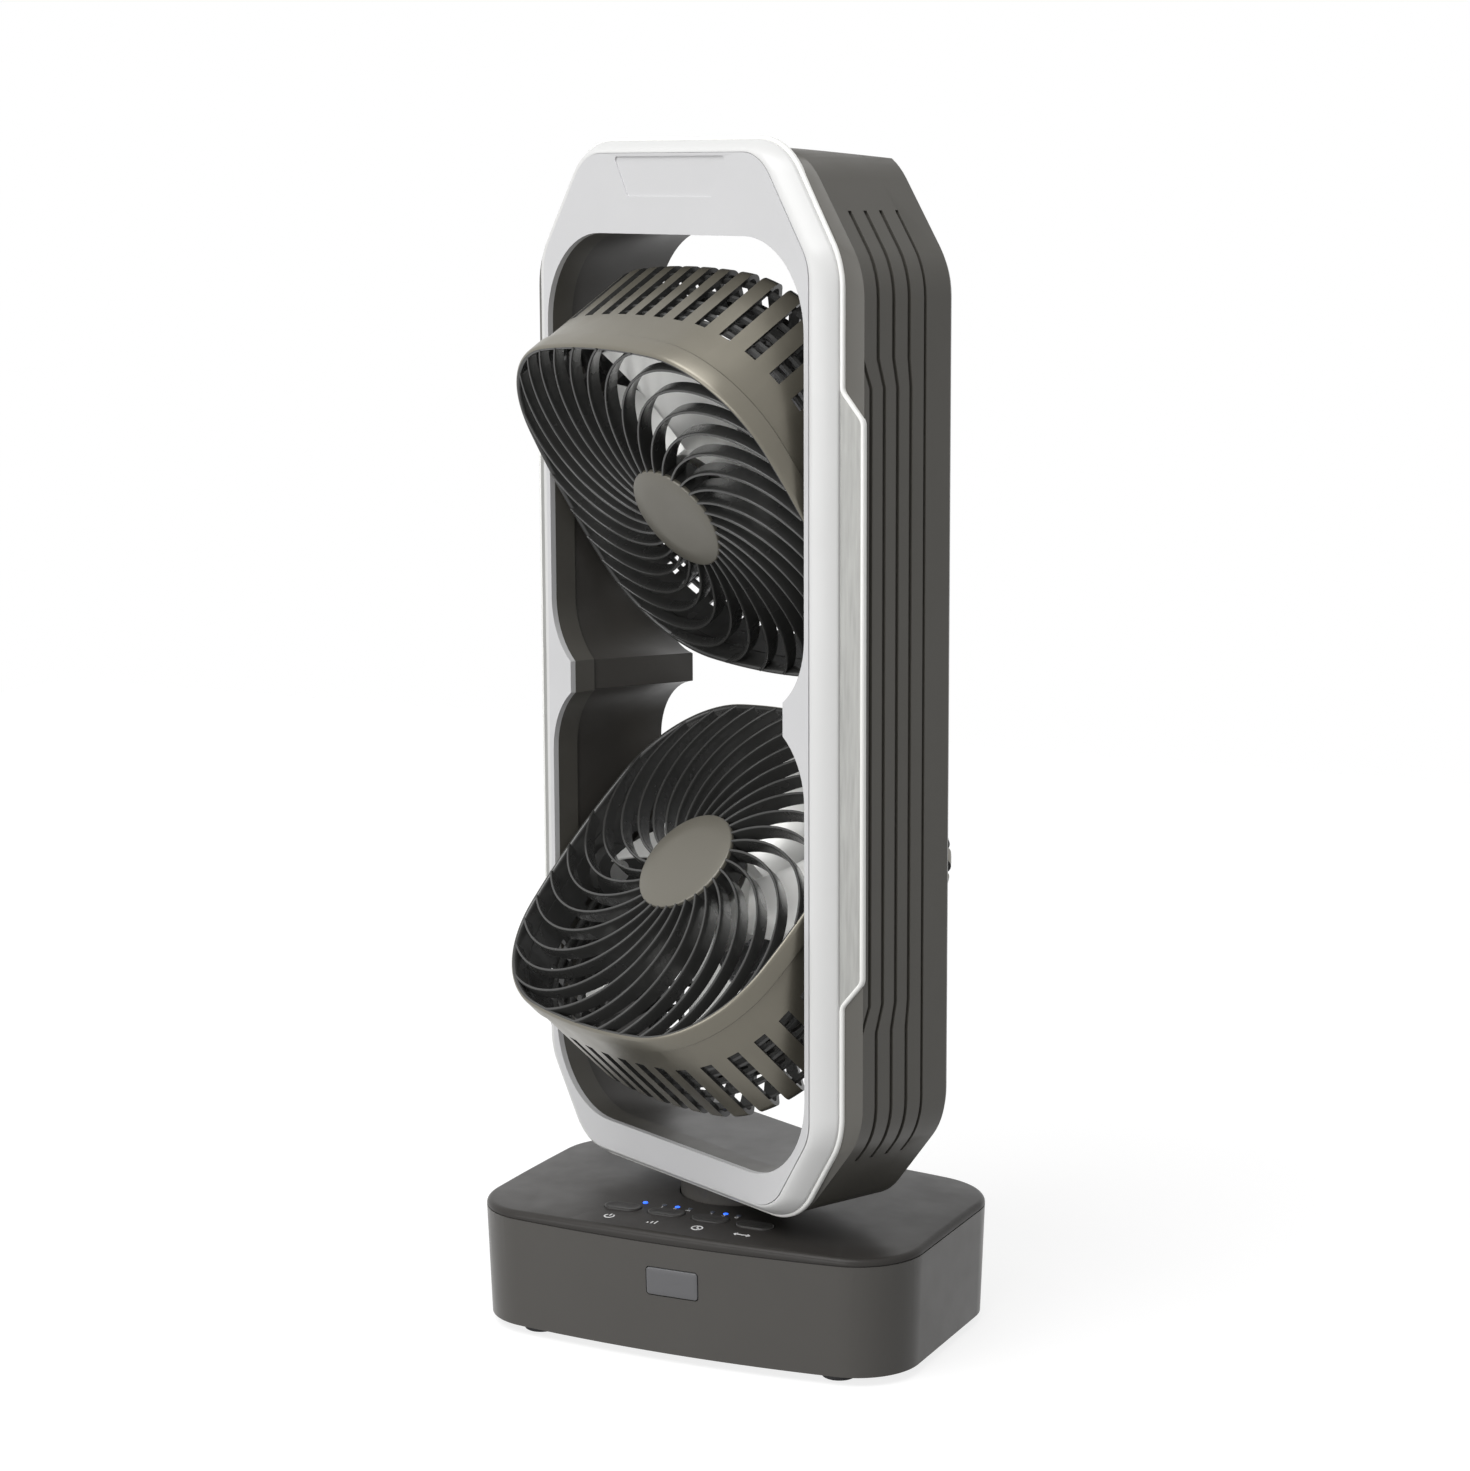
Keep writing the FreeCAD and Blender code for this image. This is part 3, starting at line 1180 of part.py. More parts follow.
def squircle_wire(inset, height):
    corner, reach, back, side = squircle(inset)
    join = math.atan2(reach, reach + back)
    edges = []
    for quarter in range(4):
        turn = quarter * math.pi / 2
        side_centre = V(-back * math.cos(turn), -back * math.sin(turn))
        diagonal = turn + math.pi / 4
        corner_centre = V(math.cos(diagonal), math.sin(diagonal)) * (reach * math.sqrt(2))
        edges.append(arc_edge(side_centre, side, turn - join, turn + join, level(height)))
        edges.append(arc_edge(corner_centre, corner, turn + join, turn + math.pi / 2 - join, level(height)))
    return Part.Wire(edges)


def squircle_prism(inset, back, front):
    return Part.Face(squircle_wire(inset, back)).extrude(Z_AXIS * (front - back))


def polar(radius, degrees, height=0):
    angle = math.radians(degrees)
    return V(radius * math.cos(angle), radius * math.sin(angle), height)


def make_vane():
    """One swept vane: an arc-shaped strip from the hub to beyond the rim, sloping back outwards."""
    stations = [polar(CAP_RADIUS - HUB_WALL / 2, VANE_ROOT_LEAD, VANE_BACK)]
    stations.append(polar((CAP_RADIUS + HEAD_HALF) / 2, -VANE_MID_SWEEP, VANE_BACK))
    stations.append(polar(HEAD_DIAGONAL, -VANE_SWEEP, VANE_BACK))
    curve = Part.Arc(*stations)
    circle = curve.toShape().Curve
    faces = []
    for offset in (-VANE_THICKNESS / 2, VANE_THICKNESS / 2):
        scale = (circle.Radius + offset) / circle.Radius
        faces.append([circle.Center + (station - circle.Center) * scale for station in stations])
    inner, outer = faces
    edges = [Part.Arc(*inner).toShape(), Part.makeLine(inner[2], outer[2])]
    edges.extend([Part.Arc(*outer).toShape(), Part.makeLine(outer[0], inner[0])])
    strip = Part.Face(Part.Wire(Part.__sortEdges__(edges))).extrude(Z_AXIS * (CAP_FRONT - VANE_BACK))
    along = (stations[2] - stations[0]).normalize()
    across = V(-along.y, along.x, 0) * HEAD_DIAGONAL
    reach = stations[2] - stations[0]
    low = stations[0] - along * HUB_WALL - across
    far = low + reach + along * (2 * HUB_WALL)
    root_height = Z_AXIS * (CAP_FRONT - VANE_BACK)
    tip_height = Z_AXIS * (RIM_FRONT - VANE_DROP - VANE_BACK)
    slope = [low, far, far + tip_height, low + root_height, low]
    wedge = Part.Face(Part.makePolygon(slope)).extrude(across * 2)
    return strip.common(wedge)


def make_grille():
    depth = CAP_FRONT - HUB_BACK
    envelope = squircle_prism(RIM_WALL / 2, VANE_BACK, CAP_FRONT)
    vane = make_vane()
    vanes = []
    for i in range(VANE_COUNT):
        turned = vane.copy()
        turned.rotate(ORIGIN, Z_AXIS, 360 * i / VANE_COUNT)
        vanes.append(turned.common(envelope))
    rim = squircle_prism(0, RIM_BACK, RIM_FRONT).cut(squircle_prism(RIM_WALL, RIM_BACK, RIM_FRONT))
    hub_length = depth - CAP_THICKNESS
    hub = tube(CAP_RADIUS, CAP_RADIUS - HUB_WALL, V(0, 0, HUB_BACK), Z_AXIS, hub_length)
    bore = rod(CAP_RADIUS - HUB_WALL, V(0, 0, HUB_BACK), Z_AXIS, depth)
    seat = rod(CAP_RADIUS + FIT, V(0, 0, CAP_FRONT - CAP_THICKNESS), Z_AXIS, CAP_THICKNESS)
    return joined(rim, hub, *vanes).cut([bore, seat])


def make_grille_cap():
    disc = rod(CAP_RADIUS, V(0, 0, CAP_FRONT - CAP_THICKNESS), Z_AXIS, CAP_THICKNESS)
    plug_radius = CAP_RADIUS - HUB_WALL - FIT
    plug_start = V(0, 0, HUB_BACK + HUB_WALL)
    plug_length = CAP_FRONT - CAP_THICKNESS - plug_start.z
    plug = tube(plug_radius, plug_radius - HUB_WALL / 2, plug_start, Z_AXIS, plug_length)
    return joined(disc, plug)


def drum_solid(inset):
    """Head shell's volume: the rim's rounded square carried straight back to a round shoulder."""
    back = SHELL_BACK + inset
    drum = squircle_prism(DRUM_STEP + inset, back, RIM_BACK)
    edges = [edge for edge in drum.Edges if edge.BoundBox.ZMax < back + inset + FIT]
    return drum.makeFillet(SHOULDER_RADIUS - inset, edges)


def guard_screw_places():
    middle = (SHELL_LEDGE_RADIUS + GUARD_OUTER_RADIUS) / 2
    height = SHELL_BACK - GUARD_THICKNESS
    return [(place, Z_AXIS) for place in ring_of(GUARD_SCREWS, middle, GUARD_SCREW_ANGLE, height)]


def motor_screw_places():
    places = ring_of(MOTOR_SCREWS, MOTOR_SCREW_CIRCLE, 90, GUARD_BACK)
    return [(place, Z_AXIS) for place in places]


def slot_angles():
    """Slot directions, leaving out those beside the tilt bosses."""
    angles = [360 * (i + 0.5) / SLOT_COUNT for i in range(SLOT_COUNT)]
    return [angle for angle in angles if abs((angle + 90) % 180 - 90) > BOSS_CLEAR_ANGLE]


def drum_rungs():
    """Rings inside the drum that tie its bars together, set wider apart towards the back."""
    outer = DRUM_STEP + RUNG_INSET
    front = SLOT_FRONT - RUNG_FIRST
    pitch = RUNG_PITCH
    rungs = []
    for i in range(RUNG_COUNT):
        back = front - RUNG_THICKNESS
        rungs.append(squircle_prism(outer, back, front).cut(squircle_prism(outer + RUNG_DEPTH, back, front)))
        front -= pitch
        pitch *= RUNG_GROWTH
    return rungs


def make_head_shell():
    shell = drum_solid(0).cut(drum_solid(DRUM_WALL))
    shell = shell.cut(rod(SHELL_LEDGE_RADIUS, V(0, 0, SHELL_BACK), Z_AXIS, DRUM_WALL))
    half = SLOT_WIDTH / 2
    slots = []
    for angle in slot_angles():
        slot = block(SLOT_INNER_RADIUS, HEAD_DIAGONAL, -half, half, SHELL_BACK, SLOT_FRONT)
        slot.rotate(ORIGIN, Z_AXIS, angle)
        slots.append(slot)
    shell = shell.cut(slots)
    bosses = []
    for side in (1, -1):
        start = V(side * (TRUNNION_BOSS_FACE - TRUNNION_BOSS_DEPTH), 0, 0)
        bosses.append(rod(TRUNNION_BOSS_RADIUS, start, X_AXIS * side, TRUNNION_BOSS_DEPTH))
    for place, axis in guard_screw_places():
        start = V(place.x, place.y, SHELL_BACK)
        bosses.append(rod(GUARD_BOSS_RADIUS, start, axis, SCREW_LENGTH))
    shell = joined(shell, *drum_rungs(), *bosses)
    cuts = [rod(TRUNNION_RADIUS, V(-HEAD_HALF, 0, 0), X_AXIS, 2 * HEAD_HALF)]
    for side in (1, -1):
        face = V(side * TRUNNION_BOSS_FACE, 0, 0)
        cuts.append(rod(TRUNNION_BOSS_RADIUS, face, X_AXIS * side, BOSS_RADIUS))
    return drilled(shell.cut(cuts), guard_screw_places(), SCREW_LENGTH)


def make_trunnions():
    inner = TRUNNION_BOSS_FACE - TRUNNION_BOSS_DEPTH
    pins = []
    for side in (1, -1):
        pins.append(rod(TRUNNION_RADIUS, X_AXIS * (side * inner), X_AXIS * side, TRUNNION_END - inner))
    return group(pins)


def trunnion_rings(radius, inner, outer):
    """A ring on each trunnion, between two distances from the head's middle."""
    rings = []
    for side in (1, -1):
        start = X_AXIS * (side * inner)
        rings.append(tube(radius, TRUNNION_RADIUS, start, X_AXIS * side, outer - inner))
    return group(rings)


def make_tilt_washers():
    outer = OPENING_HALF_WIDTH + LINER_STEP - WASHER_GAP
    return trunnion_rings(WASHER_RADIUS, TRUNNION_BOSS_FACE, outer)


def make_tilt_clips():
    inner = BUSH_END + CLIP_THICKNESS / 2
    return trunnion_rings(CLIP_RADIUS, inner, inner + CLIP_THICKNESS)


def guard_skin():
    """Rear guard's dished skin, all of one thickness."""
    plate = GUARD_CENTRE_RADIUS
    front = [V(0, 0, GUARD_BACK + GUARD_THICKNESS), V(plate, 0, GUARD_BACK + GUARD_THICKNESS)]
    front.extend([V(SHELL_LEDGE_RADIUS, 0, SHELL_BACK), V(GUARD_OUTER_RADIUS, 0, SHELL_BACK)])
    back = [point - Z_AXIS * GUARD_THICKNESS for point in reversed(front)]
    return Part.Face(Part.makePolygon(front + back + [front[0]])).revolve(ORIGIN, Z_AXIS, 360)


def make_rear_guard():
    depth = SHELL_BACK - GUARD_BACK + GUARD_THICKNESS
    start = V(0, 0, GUARD_BACK)
    plate = GUARD_CENTRE_RADIUS
    pattern = [tube(GUARD_OUTER_RADIUS, SHELL_LEDGE_RADIUS, start, Z_AXIS, depth)]
    pattern.append(rod(plate, start, Z_AXIS, depth))
    pitch = (SHELL_LEDGE_RADIUS - plate) / (GUARD_RINGS + 1)
    for i in range(GUARD_RINGS):
        radius = plate + pitch * (i + 1)
        inner = radius - GUARD_SPOKE_WIDTH / 2
        pattern.append(tube(inner + GUARD_SPOKE_WIDTH, inner, start, Z_AXIS, depth))
    for i in range(GUARD_SPOKES):
        half = GUARD_SPOKE_WIDTH / 2
        spoke = block(plate - half, SHELL_LEDGE_RADIUS + half, -half, half, GUARD_BACK, GUARD_BACK + depth)
        spoke.rotate(ORIGIN, Z_AXIS, 360 * i / GUARD_SPOKES)
        pattern.append(spoke)
    guard = guard_skin().common(joined(*pattern))
    return drilled(guard, guard_screw_places() + motor_screw_places(), SCREW_LENGTH)


def motor_front():
    return GUARD_BACK + GUARD_THICKNESS + MOTOR_LENGTH


def shaft_back():
    return motor_front() - MOTOR_LENGTH / 2


def make_motor():
    start = GUARD_BACK + GUARD_THICKNESS
    can = rod(MOTOR_RADIUS, V(0, 0, start), Z_AXIS, MOTOR_LENGTH)
    nose = rod(MOTOR_NOSE_RADIUS, V(0, 0, motor_front()), Z_AXIS, MOTOR_NOSE_LENGTH)
    bore = rod(SHAFT_RADIUS + RUNNING, V(0, 0, shaft_back() - RUNNING), Z_AXIS, MOTOR_LENGTH)
    return drilled(joined(can, nose).cut(bore), motor_screw_places(), SCREW_LENGTH)


def make_motor_shaft():
    return rod(SHAFT_RADIUS, V(0, 0, shaft_back()), Z_AXIS, BLADE_HUB_FRONT + NUT_LENGTH - shaft_back())


def make_blade_nut():
    start = V(0, 0, BLADE_HUB_FRONT)
    nut = rod(NUT_RADIUS, start, Z_AXIS, NUT_LENGTH)
    places = ring_of(NUT_FLUTES, NUT_RADIUS, 0, BLADE_HUB_FRONT)
    flutes = [rod(NUT_FLUTE_RADIUS, place, Z_AXIS, NUT_LENGTH) for place in places]
    return nut.cut(flutes + [rod(SHAFT_RADIUS, start, Z_AXIS, NUT_LENGTH)])


def blade_section(share):
    """Blade's cross-section at a share of the way from hub to tip: a thin cambered strip."""
    root = BLADE_HUB_RADIUS - BLADE_THICKNESS
    radius = root + (BLADE_TIP_RADIUS + BLADE_THICKNESS - root) * share
    chord = BLADE_ROOT_CHORD + (BLADE_TIP_CHORD - BLADE_ROOT_CHORD) * share
    pitch = math.radians(BLADE_ROOT_PITCH + (BLADE_TIP_PITCH - BLADE_ROOT_PITCH) * share)
    along = V(0, math.cos(pitch), math.sin(pitch))
    across = V(0, -math.sin(pitch), math.cos(pitch))
    middle = V(radius, 0, 0)
    half = BLADE_THICKNESS / 2
    reach = along * (chord / 2)
    sides = []
    for offset in (-half, half):
        edge = middle + across * (offset / 2)
        crown = middle + across * (offset + chord * BLADE_CAMBER)
        sides.append([edge - reach, crown, edge + reach])
    lower, upper = sides
    edges = [Part.Arc(*lower).toShape(), Part.makeLine(lower[2], upper[2])]
    edges.extend([Part.Arc(*reversed(upper)).toShape(), Part.makeLine(upper[0], lower[0])])
    wire = Part.Wire(edges)
    wire.rotate(ORIGIN, Z_AXIS, BLADE_SWEEP * share)
    return wire


def make_fan_blade():
    hub_length = BLADE_HUB_FRONT - BLADE_HUB_BACK
    start = V(0, 0, BLADE_HUB_BACK)
    blade = Part.makeLoft([blade_section(share) for share in (0, 0.5, 1)], True, False)
    blade = blade.common(rod(BLADE_TIP_RADIUS, V(0, 0, 2 * BLADE_HUB_BACK), Z_AXIS, 2 * hub_length))
    blades = []
    for i in range(BLADE_COUNT):
        turned = blade.copy()
        turned.rotate(ORIGIN, Z_AXIS, 360 * i / BLADE_COUNT)
        blades.append(turned)
    wheel = joined(rod(BLADE_HUB_RADIUS, start, Z_AXIS, hub_length), *blades)
    hollow = tube(BLADE_HUB_RADIUS - WALL, NUT_RADIUS, start, Z_AXIS, hub_length - WALL)
    return wheel.cut([hollow, rod(SHAFT_RADIUS, start, Z_AXIS, hub_length)])


def make_head_screws():
    return group(screws(guard_screw_places(), SCREW_LENGTH) + screws(motor_screw_places(), SCREW_LENGTH))


# Pieces in place, one file each

pieces = {
    "base_body": make_base_body(),
    "base_top_cover": make_top_cover(),
    "base_bottom_plate": make_bottom_plate(),
    "rubber_feet": make_rubber_feet(),
    "ballast_plate": make_ballast(),
    "base_screws": group(screws(bottom_screws() + cover_screws(), SCREW_LENGTH)),
    "inner_screws": group(screws(control_screws() + power_screws() + drive_screws(), BOARD_SCREW_LENGTH)),
    "control_board": make_control_board(),
    "tact_switches": make_switches(),
    "indicator_lenses": make_lenses(),
    "ir_window": make_window(),
    "ir_receiver": make_receiver(),
    "power_board": make_power_board(),
    "cord_gland": make_gland(),
    "oscillation_motor": make_drive_motor(),
    "drive_shaft": make_drive_shaft(),
    "drive_pinion": make_drive_pinion(),
    "thrust_washer": make_thrust_washer(),
    "neck_column": make_neck_column(),
    "neck_gear": make_neck_gear(),
    "neck_retainer": make_neck_retainer(),
    "neck_plate": make_neck_plate(),
    "neck_screws": group(screws(retainer_screws() + plate_screws(), SCREW_LENGTH)),
    "front_plate": in_tower(make_front_plate()),
    "bevel_frame": in_tower(make_bevel()),
    "side_trim_left": in_tower(make_trim(-1)),
    "side_trim_right": in_tower(make_trim(1)),
    "tower_front_housing": in_tower(make_front_housing()),
    "tower_rear_housing": in_tower(make_rear_housing()),
    "opening_liner": in_tower(make_liner()),
    "tower_screws": in_tower(group(screws(tower_screw_places(), tower_screw_length()))),
    "tilt_bushes": in_tower(make_bushes()),
}

button_names = ("power", "speed", "timer", "oscillation")
for name, x in zip(button_names, button_places()):
    pieces["button_" + name] = make_button(x)

head_pieces = {
    "grille": make_grille(),
    "grille_cap": make_grille_cap(),
    "head_shell": make_head_shell(),
    "rear_guard": make_rear_guard(),
    "trunnions": make_trunnions(),
    "tilt_washers": make_tilt_washers(),
    "tilt_clips": make_tilt_clips(),
    "head_screws": make_head_screws(),
    "motor": make_motor(),
    "motor_shaft": make_motor_shaft(),
    "blade_nut": make_blade_nut(),
    "fan_blade": make_fan_blade(),
}
for name, shape in head_pieces.items():
    pieces["upper_" + name] = in_head(shape, UPPER_TILT, PIVOT_SPREAD)
    pieces["lower_" + name] = in_head(shape, LOWER_TILT, -PIVOT_SPREAD)

os.makedirs("parts", exist_ok=True)
for name, shape in pieces.items():
    shape.exportStep("parts/" + name + ".step")
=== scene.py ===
import json
from math import atan2, cos, pi, radians, sin, sqrt

import bmesh
import bpy
import numpy as np
from mathutils import Matrix, Vector


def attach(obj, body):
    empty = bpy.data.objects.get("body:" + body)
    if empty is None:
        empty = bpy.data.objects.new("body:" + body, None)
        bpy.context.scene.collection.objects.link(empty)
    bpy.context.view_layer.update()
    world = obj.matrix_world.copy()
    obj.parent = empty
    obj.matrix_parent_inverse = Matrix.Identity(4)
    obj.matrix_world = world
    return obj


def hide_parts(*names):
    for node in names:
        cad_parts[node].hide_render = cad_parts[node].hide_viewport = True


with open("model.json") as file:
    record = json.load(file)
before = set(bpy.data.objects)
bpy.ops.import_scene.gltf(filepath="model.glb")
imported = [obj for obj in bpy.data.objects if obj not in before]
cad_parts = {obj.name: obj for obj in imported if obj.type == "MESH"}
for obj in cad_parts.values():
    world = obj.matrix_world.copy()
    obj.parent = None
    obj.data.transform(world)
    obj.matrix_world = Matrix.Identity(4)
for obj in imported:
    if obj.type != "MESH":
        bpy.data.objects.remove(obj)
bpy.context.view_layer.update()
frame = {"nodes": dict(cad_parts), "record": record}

# Base box: a tapered tub moulded in charcoal plastic with a fine spark-eroded grain,
# closed below by a flat plate and pierced at the back by the cord's gland.
# Each of these skins is the CAD piece's own, with its arrises rounded as a mould leaves them.

record = frame["record"]
body_of_node = {node: body for body, nodes in record["behaviour"]["bodies"].items() for node in nodes}
noise_low, noise_high = 0.3, 0.7
gloss_swing = 0.04
merge_reach = 2e-6
flat_angle = radians(0.4)


def tone(red, green, blue):
    """Screen colour in steps of 255 as light: the display's curve undone for each channel,
    a straight toe for the darkest steps and a power above it."""
    toe, toe_slope, offset, power = 0.04045, 12.92, 0.055, 2.4
    screen = np.array((red, green, blue)) / 255
    light = np.where(screen < toe, screen / toe_slope, ((screen + offset) / (1 + offset)) ** power)
    return (*light.tolist(), 1.0)


def dialled(node, sockets):
    """The shader node, with each socket that is named set to its value."""
    for socket, value in sockets.items():
        node.inputs[socket].default_value = value
    return node


def moulded(name, colour, rough, drift, grain, specular=0.5, metallic=0.0):
    """Moulded plastic: the colour drifts up and down by a share along a slow noise, the gloss
    along a second one, and a fine noise as high as the grain, in metres, roughens the skin."""
    material = bpy.data.materials.new(name)
    material.use_nodes = True
    nodes = material.node_tree.nodes
    link = material.node_tree.links.new
    shader = dialled(nodes["Principled BSDF"], {"Specular IOR Level": specular, "Metallic": metallic})
    place = nodes.new("ShaderNodeTexCoord")
    cloud = dialled(nodes.new("ShaderNodeTexNoise"), {"Scale": 24.0, "Detail": 4.0})
    wear = dialled(nodes.new("ShaderNodeTexNoise"), {"Scale": 60.0, "Detail": 5.0})
    pits = dialled(nodes.new("ShaderNodeTexNoise"), {"Scale": 1100.0, "Detail": 2.0})
    shades = nodes.new("ShaderNodeValToRGB")
    steps = zip(shades.color_ramp.elements, (noise_low, noise_high), (1 - drift, 1 + drift))
    for element, position, share in steps:
        element.position = position
        element.color = (*[channel * share for channel in colour[:3]], 1.0)
    gloss = dialled(nodes.new("ShaderNodeMapRange"), {
        "From Min": noise_low, "From Max": noise_high,
        "To Min": rough - gloss_swing, "To Max": rough + gloss_swing})
    relief = dialled(nodes.new("ShaderNodeBump"), {"Strength": 0.5, "Distance": grain})
    for texture in (cloud, wear, pits):
        link(place.outputs["Object"], texture.inputs["Vector"])
    link(cloud.outputs["Fac"], shades.inputs["Fac"])
    link(shades.outputs["Color"], shader.inputs["Base Color"])
    link(wear.outputs["Fac"], gloss.inputs["Value"])
    link(gloss.outputs["Result"], shader.inputs["Roughness"])
    link(pits.outputs["Fac"], relief.inputs["Height"])
    link(relief.outputs["Normal"], shader.inputs["Normal"])
    return material


def stood(name, data):
    """A new object of the mesh, lamp or camera, standing in the scene."""
    thing = bpy.data.objects.new(name, data)
    bpy.context.scene.collection.objects.link(thing)
    return thing


def placed(mesh, name, finish, node, stands_in=True):
    """The mesh as a piece that moves with the CAD node's body, takes its slot and stands in for it."""
    mesh.materials.clear()
    mesh.materials.append(finish)
    piece = stood(name, mesh)
    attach(piece, body_of_node[node])
    if stands_in:
        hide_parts(node)
    return piece


def finished(node, finish, edge=0.0004, crease=30):
    """The CAD node's skin, merged, with flat areas made whole. Each arris, where faces meet at more than
    the crease in degrees, is rounded to the edge width in metres."""
    mesh = frame["nodes"][node].data.copy()
    skin = bmesh.new()
    skin.from_mesh(mesh)
    bmesh.ops.remove_doubles(skin, verts=skin.verts, dist=merge_reach)
    bmesh.ops.dissolve_limit(skin, angle_limit=flat_angle, verts=skin.verts, edges=skin.edges)
    skin.to_mesh(mesh)
    skin.free()
    mesh.shade_smooth()
    mesh.set_sharp_from_angle(angle=radians(crease))
    piece = placed(mesh, node + "_skin", finish, node)
    if edge:
        rounding = piece.modifiers.new("rounded arris", "BEVEL")
        rounding.width = edge
        rounding.segments = 2
        rounding.limit_method = "ANGLE"
        rounding.angle_limit = radians(crease)
        rounding.harden_normals = True
    return piece


charcoal = moulded("charcoal moulding", tone(76, 74, 71), rough=0.32, drift=0.02, grain=1e-5, specular=0.3)
gland_nylon = moulded("gland nylon", tone(34, 34, 35), rough=0.5, drift=0.05, grain=3e-5)
finished("base_body", charcoal, edge=0.0005)
finished("base_bottom_plate", charcoal, edge=0.0003)
finished("cord_gland", gland_nylon, edge=0.0005)

# Feet: four soft rubber pads, pressed by their stems into the bottom plate.
# Black rubber, dull, with a dusty bloom.

foot_rubber = moulded("foot rubber", tone(30, 30, 31), rough=0.75, drift=0.12, grain=8e-5)
finished("rubber_feet", foot_rubber, edge=0.0006)

# Ballast and works: a steel slab, two boards, switches, receiver and the oscillation motor with its gears,
# all screwed inside the base and out of sight once the cover is on.

metal_grain = 2e-5
board_lacquer = moulded("board lacquer", tone(30, 92, 52), rough=0.35, drift=0.1, grain=2e-5)
component_black = moulded("component black", tone(28, 28, 29), rough=0.45, drift=0.06, grain=3e-5)
nylon = moulded("natural nylon", tone(222, 219, 208), rough=0.48, drift=0.04, grain=3e-5)
zinc = moulded("zinc plating", tone(190, 190, 188), 0.32, 0.08, metal_grain, metallic=1.0)
can_metal = moulded("motor can", tone(172, 172, 174), 0.36, 0.06, metal_grain, metallic=1.0)
ballast_steel = moulded("ballast steel", tone(98, 98, 100), 0.6, 0.12, metal_grain, metallic=1.0)
base_works = (("ballast_plate", ballast_steel, 0.0005), ("control_board", board_lacquer, 0),
              ("power_board", board_lacquer, 0), ("tact_switches", component_black, 0),
              ("ir_receiver", component_black, 0), ("oscillation_motor", can_metal, 0.0004),
              ("drive_shaft", zinc, 0), ("drive_pinion", nylon, 0), ("thrust_washer", nylon, 0),
              ("inner_screws", zinc, 0))
for node, finish, edge in base_works:
    finished(node, finish, edge)

# Screws: zinc-plated pan heads with a cross recess, on plain shanks.
# The bottom plate's four show in their countersinks; the cover's four stay inside.

screw_head_radius = 3.0
screw_head_height = 2.0
screw_head_net = 19
screw_shank_radius = 1.5
screw_shank_stations = 16
recess_half_width = 0.4
recess_reach = 1.75
recess_depth = 0.9
crown_power = 5
crown_fall = 0.12
base_screw_length = 10.0
weld_reach = 1e-6
sliver = 1e-7


def skinned(name, sheets, crease=40):
    """Mesh of point grids in millimetres. A sheet is (grid, rows closed, columns closed), its grid copies x
    rows x columns x 3. Each cell makes a quad, points that coincide are merged, and faces are turned
    outwards. Faces that meet at more than the crease, in degrees, keep a sharp edge."""
    points = []
    quads = []
    count = 0
    for grid, rows_closed, columns_closed in sheets:
        index = np.arange(grid[..., 0].size).reshape(grid.shape[:3]) + count
        if rows_closed:
            index = np.concatenate([index, index[:, :1]], axis=1)
        if columns_closed:
            index = np.concatenate([index, index[:, :, :1]], axis=2)
        ring = [index[:, :-1, :-1], index[:, 1:, :-1], index[:, 1:, 1:], index[:, :-1, 1:]]
        quads.append(np.stack(ring, axis=-1).reshape(-1, 4))
        points.append(grid.reshape(-1, 3) / 1000)
        count += grid[..., 0].size
    mesh = bpy.data.meshes.new(name)
    mesh.from_pydata(np.concatenate(points).tolist(), [], np.concatenate(quads).tolist())
    skin = bmesh.new()
    skin.from_mesh(mesh)
    bmesh.ops.remove_doubles(skin, verts=skin.verts, dist=weld_reach)
    bmesh.ops.dissolve_degenerate(skin, edges=skin.edges, dist=sliver)
    bmesh.ops.recalc_face_normals(skin, faces=skin.faces)
    skin.to_mesh(mesh)
    skin.free()
    mesh.shade_smooth()
    mesh.set_sharp_from_angle(angle=radians(crease))
    return mesh


def turned(profile, stations):
    """Lathe work: each profile point (radius, height) goes once round the axis.
    Grid of stations x points x 3."""
    angle = np.arange(stations)[:, None] * 2 * pi / stations
    radius, height = np.asarray(profile, float).T
    return np.stack([radius * np.cos(angle), radius * np.sin(angle), height + 0 * angle], axis=-1)


def aimed(grid, places, axis):
    """A grid standing on the axis Z, copied to each place with Z turned along the axis direction."""
    turn = np.array(Vector((0, 0, 1)).rotation_difference(Vector(axis)).to_matrix())
    return grid @ turn.T + np.asarray(places, float)[:, None, None, :]


def screws(length, places, axis):
    """Pan-head screws as two grids, heads and shanks. A head is a square net drawn onto a disc, its underside
    at the place; its height falls off from the crown, and drops where the net crosses the cross recess.
    The shank runs the other way along the axis."""
    net = np.linspace(-1, 1, screw_head_net)
    u, v = np.meshgrid(net, net)
    x = screw_head_radius * u * np.sqrt(1 - v ** 2 / 2)
    y = screw_head_radius * v * np.sqrt(1 - u ** 2 / 2)
    reach = np.minimum(np.hypot(x, y) / screw_head_radius, 1.0)
    slot = np.minimum(np.abs(x), np.abs(y)) < recess_half_width
    arm = np.maximum(np.abs(x), np.abs(y)) < recess_reach
    crown = screw_head_height * (1 - reach ** crown_power) * (1 - crown_fall * reach ** 2)
    crown = crown - np.where(slot & arm, recess_depth, 0.0)
    shank = turned([(screw_head_radius, 0.0), (screw_shank_radius, 0.0), (screw_shank_radius, -length),
                    (0.0, -length)], screw_shank_stations)
    return aimed(np.stack([x, y, crown], axis=-1), places, axis), aimed(shank, places, axis)


